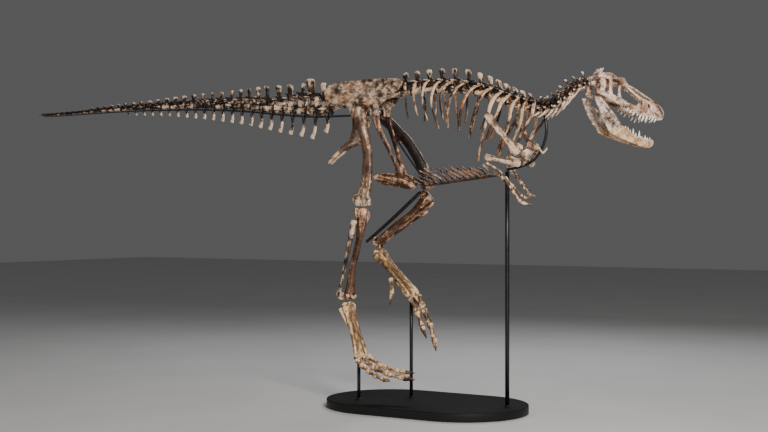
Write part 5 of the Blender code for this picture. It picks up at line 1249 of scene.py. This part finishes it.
def fang(axes, s, w, h, long, wide, lean, curl):
    """A blade tooth: its line leans by `lean` and curls back with the square of its height."""
    rise = np.array((-0.012, 0.0, 0.30, 0.60, 0.85, 1.0)) * (1, 1, *(abs(long),) * 4)
    share = np.clip(rise / abs(long), 0, 1)
    size = wide * np.array((0.85, 1.0, 0.92, 0.70, 0.40, 0.12))
    way = math.copysign(1.0, long)
    rows = [(s - lean * r - curl * t * t, w, h + way * r, a * 0.62, a) for r, t, a in zip(rise, share, size)]
    return axes.bone(rows, 9, axes.s, sides=8, rough=0.02, wear=(0.2, 0.55, 0.9, 1.0, 1.0), bulge=0.2)


def make_skull():
    piece("skull_bones", face() + cheek() + brain_and_palate(), SKULL, "warm_bone", "skull", melt_at=0.0036)
    teeth = []
    for s, long, wide in UPPER_TEETH:
        edge = edge_at(SKULL_ROWS, s, 1) + 0.003
        out = max(cheek_out(s, edge) - 0.0085, TOOTH_OUT)
        teeth += [fang(skull, s, hand * out, edge, -long, wide, 0.0, 0.007) for hand in (1, -1)]
    piece("upper_teeth", teeth, IVORY, "pale_bone", "skull")


def make_jaw():
    rear = [
        *jaw.sheet(((-10, -28), (30, -47), (100, -83), (170, -111), (238, -129)),
                   ((-14, -2), (30, 4), (75, -6), (105, -17), (140, -17), (180, -18), (276, -46)),
                   (8, 10, 10.5, 9), 30, rough=0.12, lump=0.014),
        *jaw.bar(((-20, -6, 12, 11), (22, 10, 17, 12), (60, 6, 14, 12), (105, 4, 10, 11), (150, -2, 10, 11),
                  (205, -18, 19, 10.5), (250, -34, 26, 10), (288, -31, 17, 8)), 30, sides=14, rough=0.12,
                 lump=0.014, wear=(0.7, 0.4, 0.5)),
        *jaw.bar(((-26, -12, 10, 11), (-6, 6, 11, 11.5), (12, 16, 8, 11)), 8, rough=0.15, wear=0.9),
        *jaw.bar(((20, -26, 10, 8), (100, -50, 20, 6), (190, -70, 30, 6)), 12, rough=0.15, lump=0.012)]
    piece("rear_jaw_bones", rear, JAW_REAR, "warm_bone", "lower_jaw")
    front = [*jaw.sheet(((322, -119), (370, -101), (430, -78), (500, -51), (565, -24), (615, 4), (640, 26),
                         (654, 50)),
                        ((288, -34), (330, -12), (390, -4), (440, 6), (500, 20), (555, 46), (605, 70),
                         (648, 82)), (8.5, 10.5, 11, 11, 10.5, 9), 40),
             *jaw.bar(((292, -50, 22, 9), (320, -44, 30, 10), (360, -40, 30, 10)), 9, sides=14, rough=0.08),
             *jaw.sheet(((232, -132), (254, -135), (312, -121)), ((244, -92), (266, -66), (302, -76)), 9, 12,
                        rough=0.1),
             *jaw.bar(((452, -18, 16, 11.5), (515, 0, 14, 11.5)), 8, rough=0.1),
             jaw.rod([(640, w, 52 - abs(w) * 0.4, 12, 22) for w in (-14, 0, 14)], 6, jaw.f)]
    piece("front_jaw_bones", front, DENTARY, "warm_bone", "lower_jaw")
    teeth = []
    for s, long, wide in LOWER_TEETH:
        out = max(edge_at(JAW_ROWS, s, 3), TOOTH_OUT)
        teeth += [fang(jaw, s, hand * out, edge_at(JAW_ROWS, s, 2) - 0.004, long, wide, 0.42, 0.010)
                  for hand in (1, -1)]
    piece("lower_teeth", teeth, IVORY, "pale_bone", "lower_jaw")


# ---------------------------------------------------------------- the scene

def lay_the_floor():
    mesh = bpy.data.meshes.new("floor")
    mesh.from_pydata([(x, y, 0.0) for y in (-30.0, 30.0) for x in (-30.0, 30.0)], [], [(0, 1, 3, 2)])
    mesh.materials.append(pale_floor())
    add("floor", mesh)


set_the_camera()
set_the_studio()
lay_the_floor()
make_stand()
make_tail()
make_sacrum()
make_chest()
make_neck()
make_hips()
make_legs()
make_arms()
make_belly()
make_skull()
make_jaw()

bpy.context.view_layer.update()
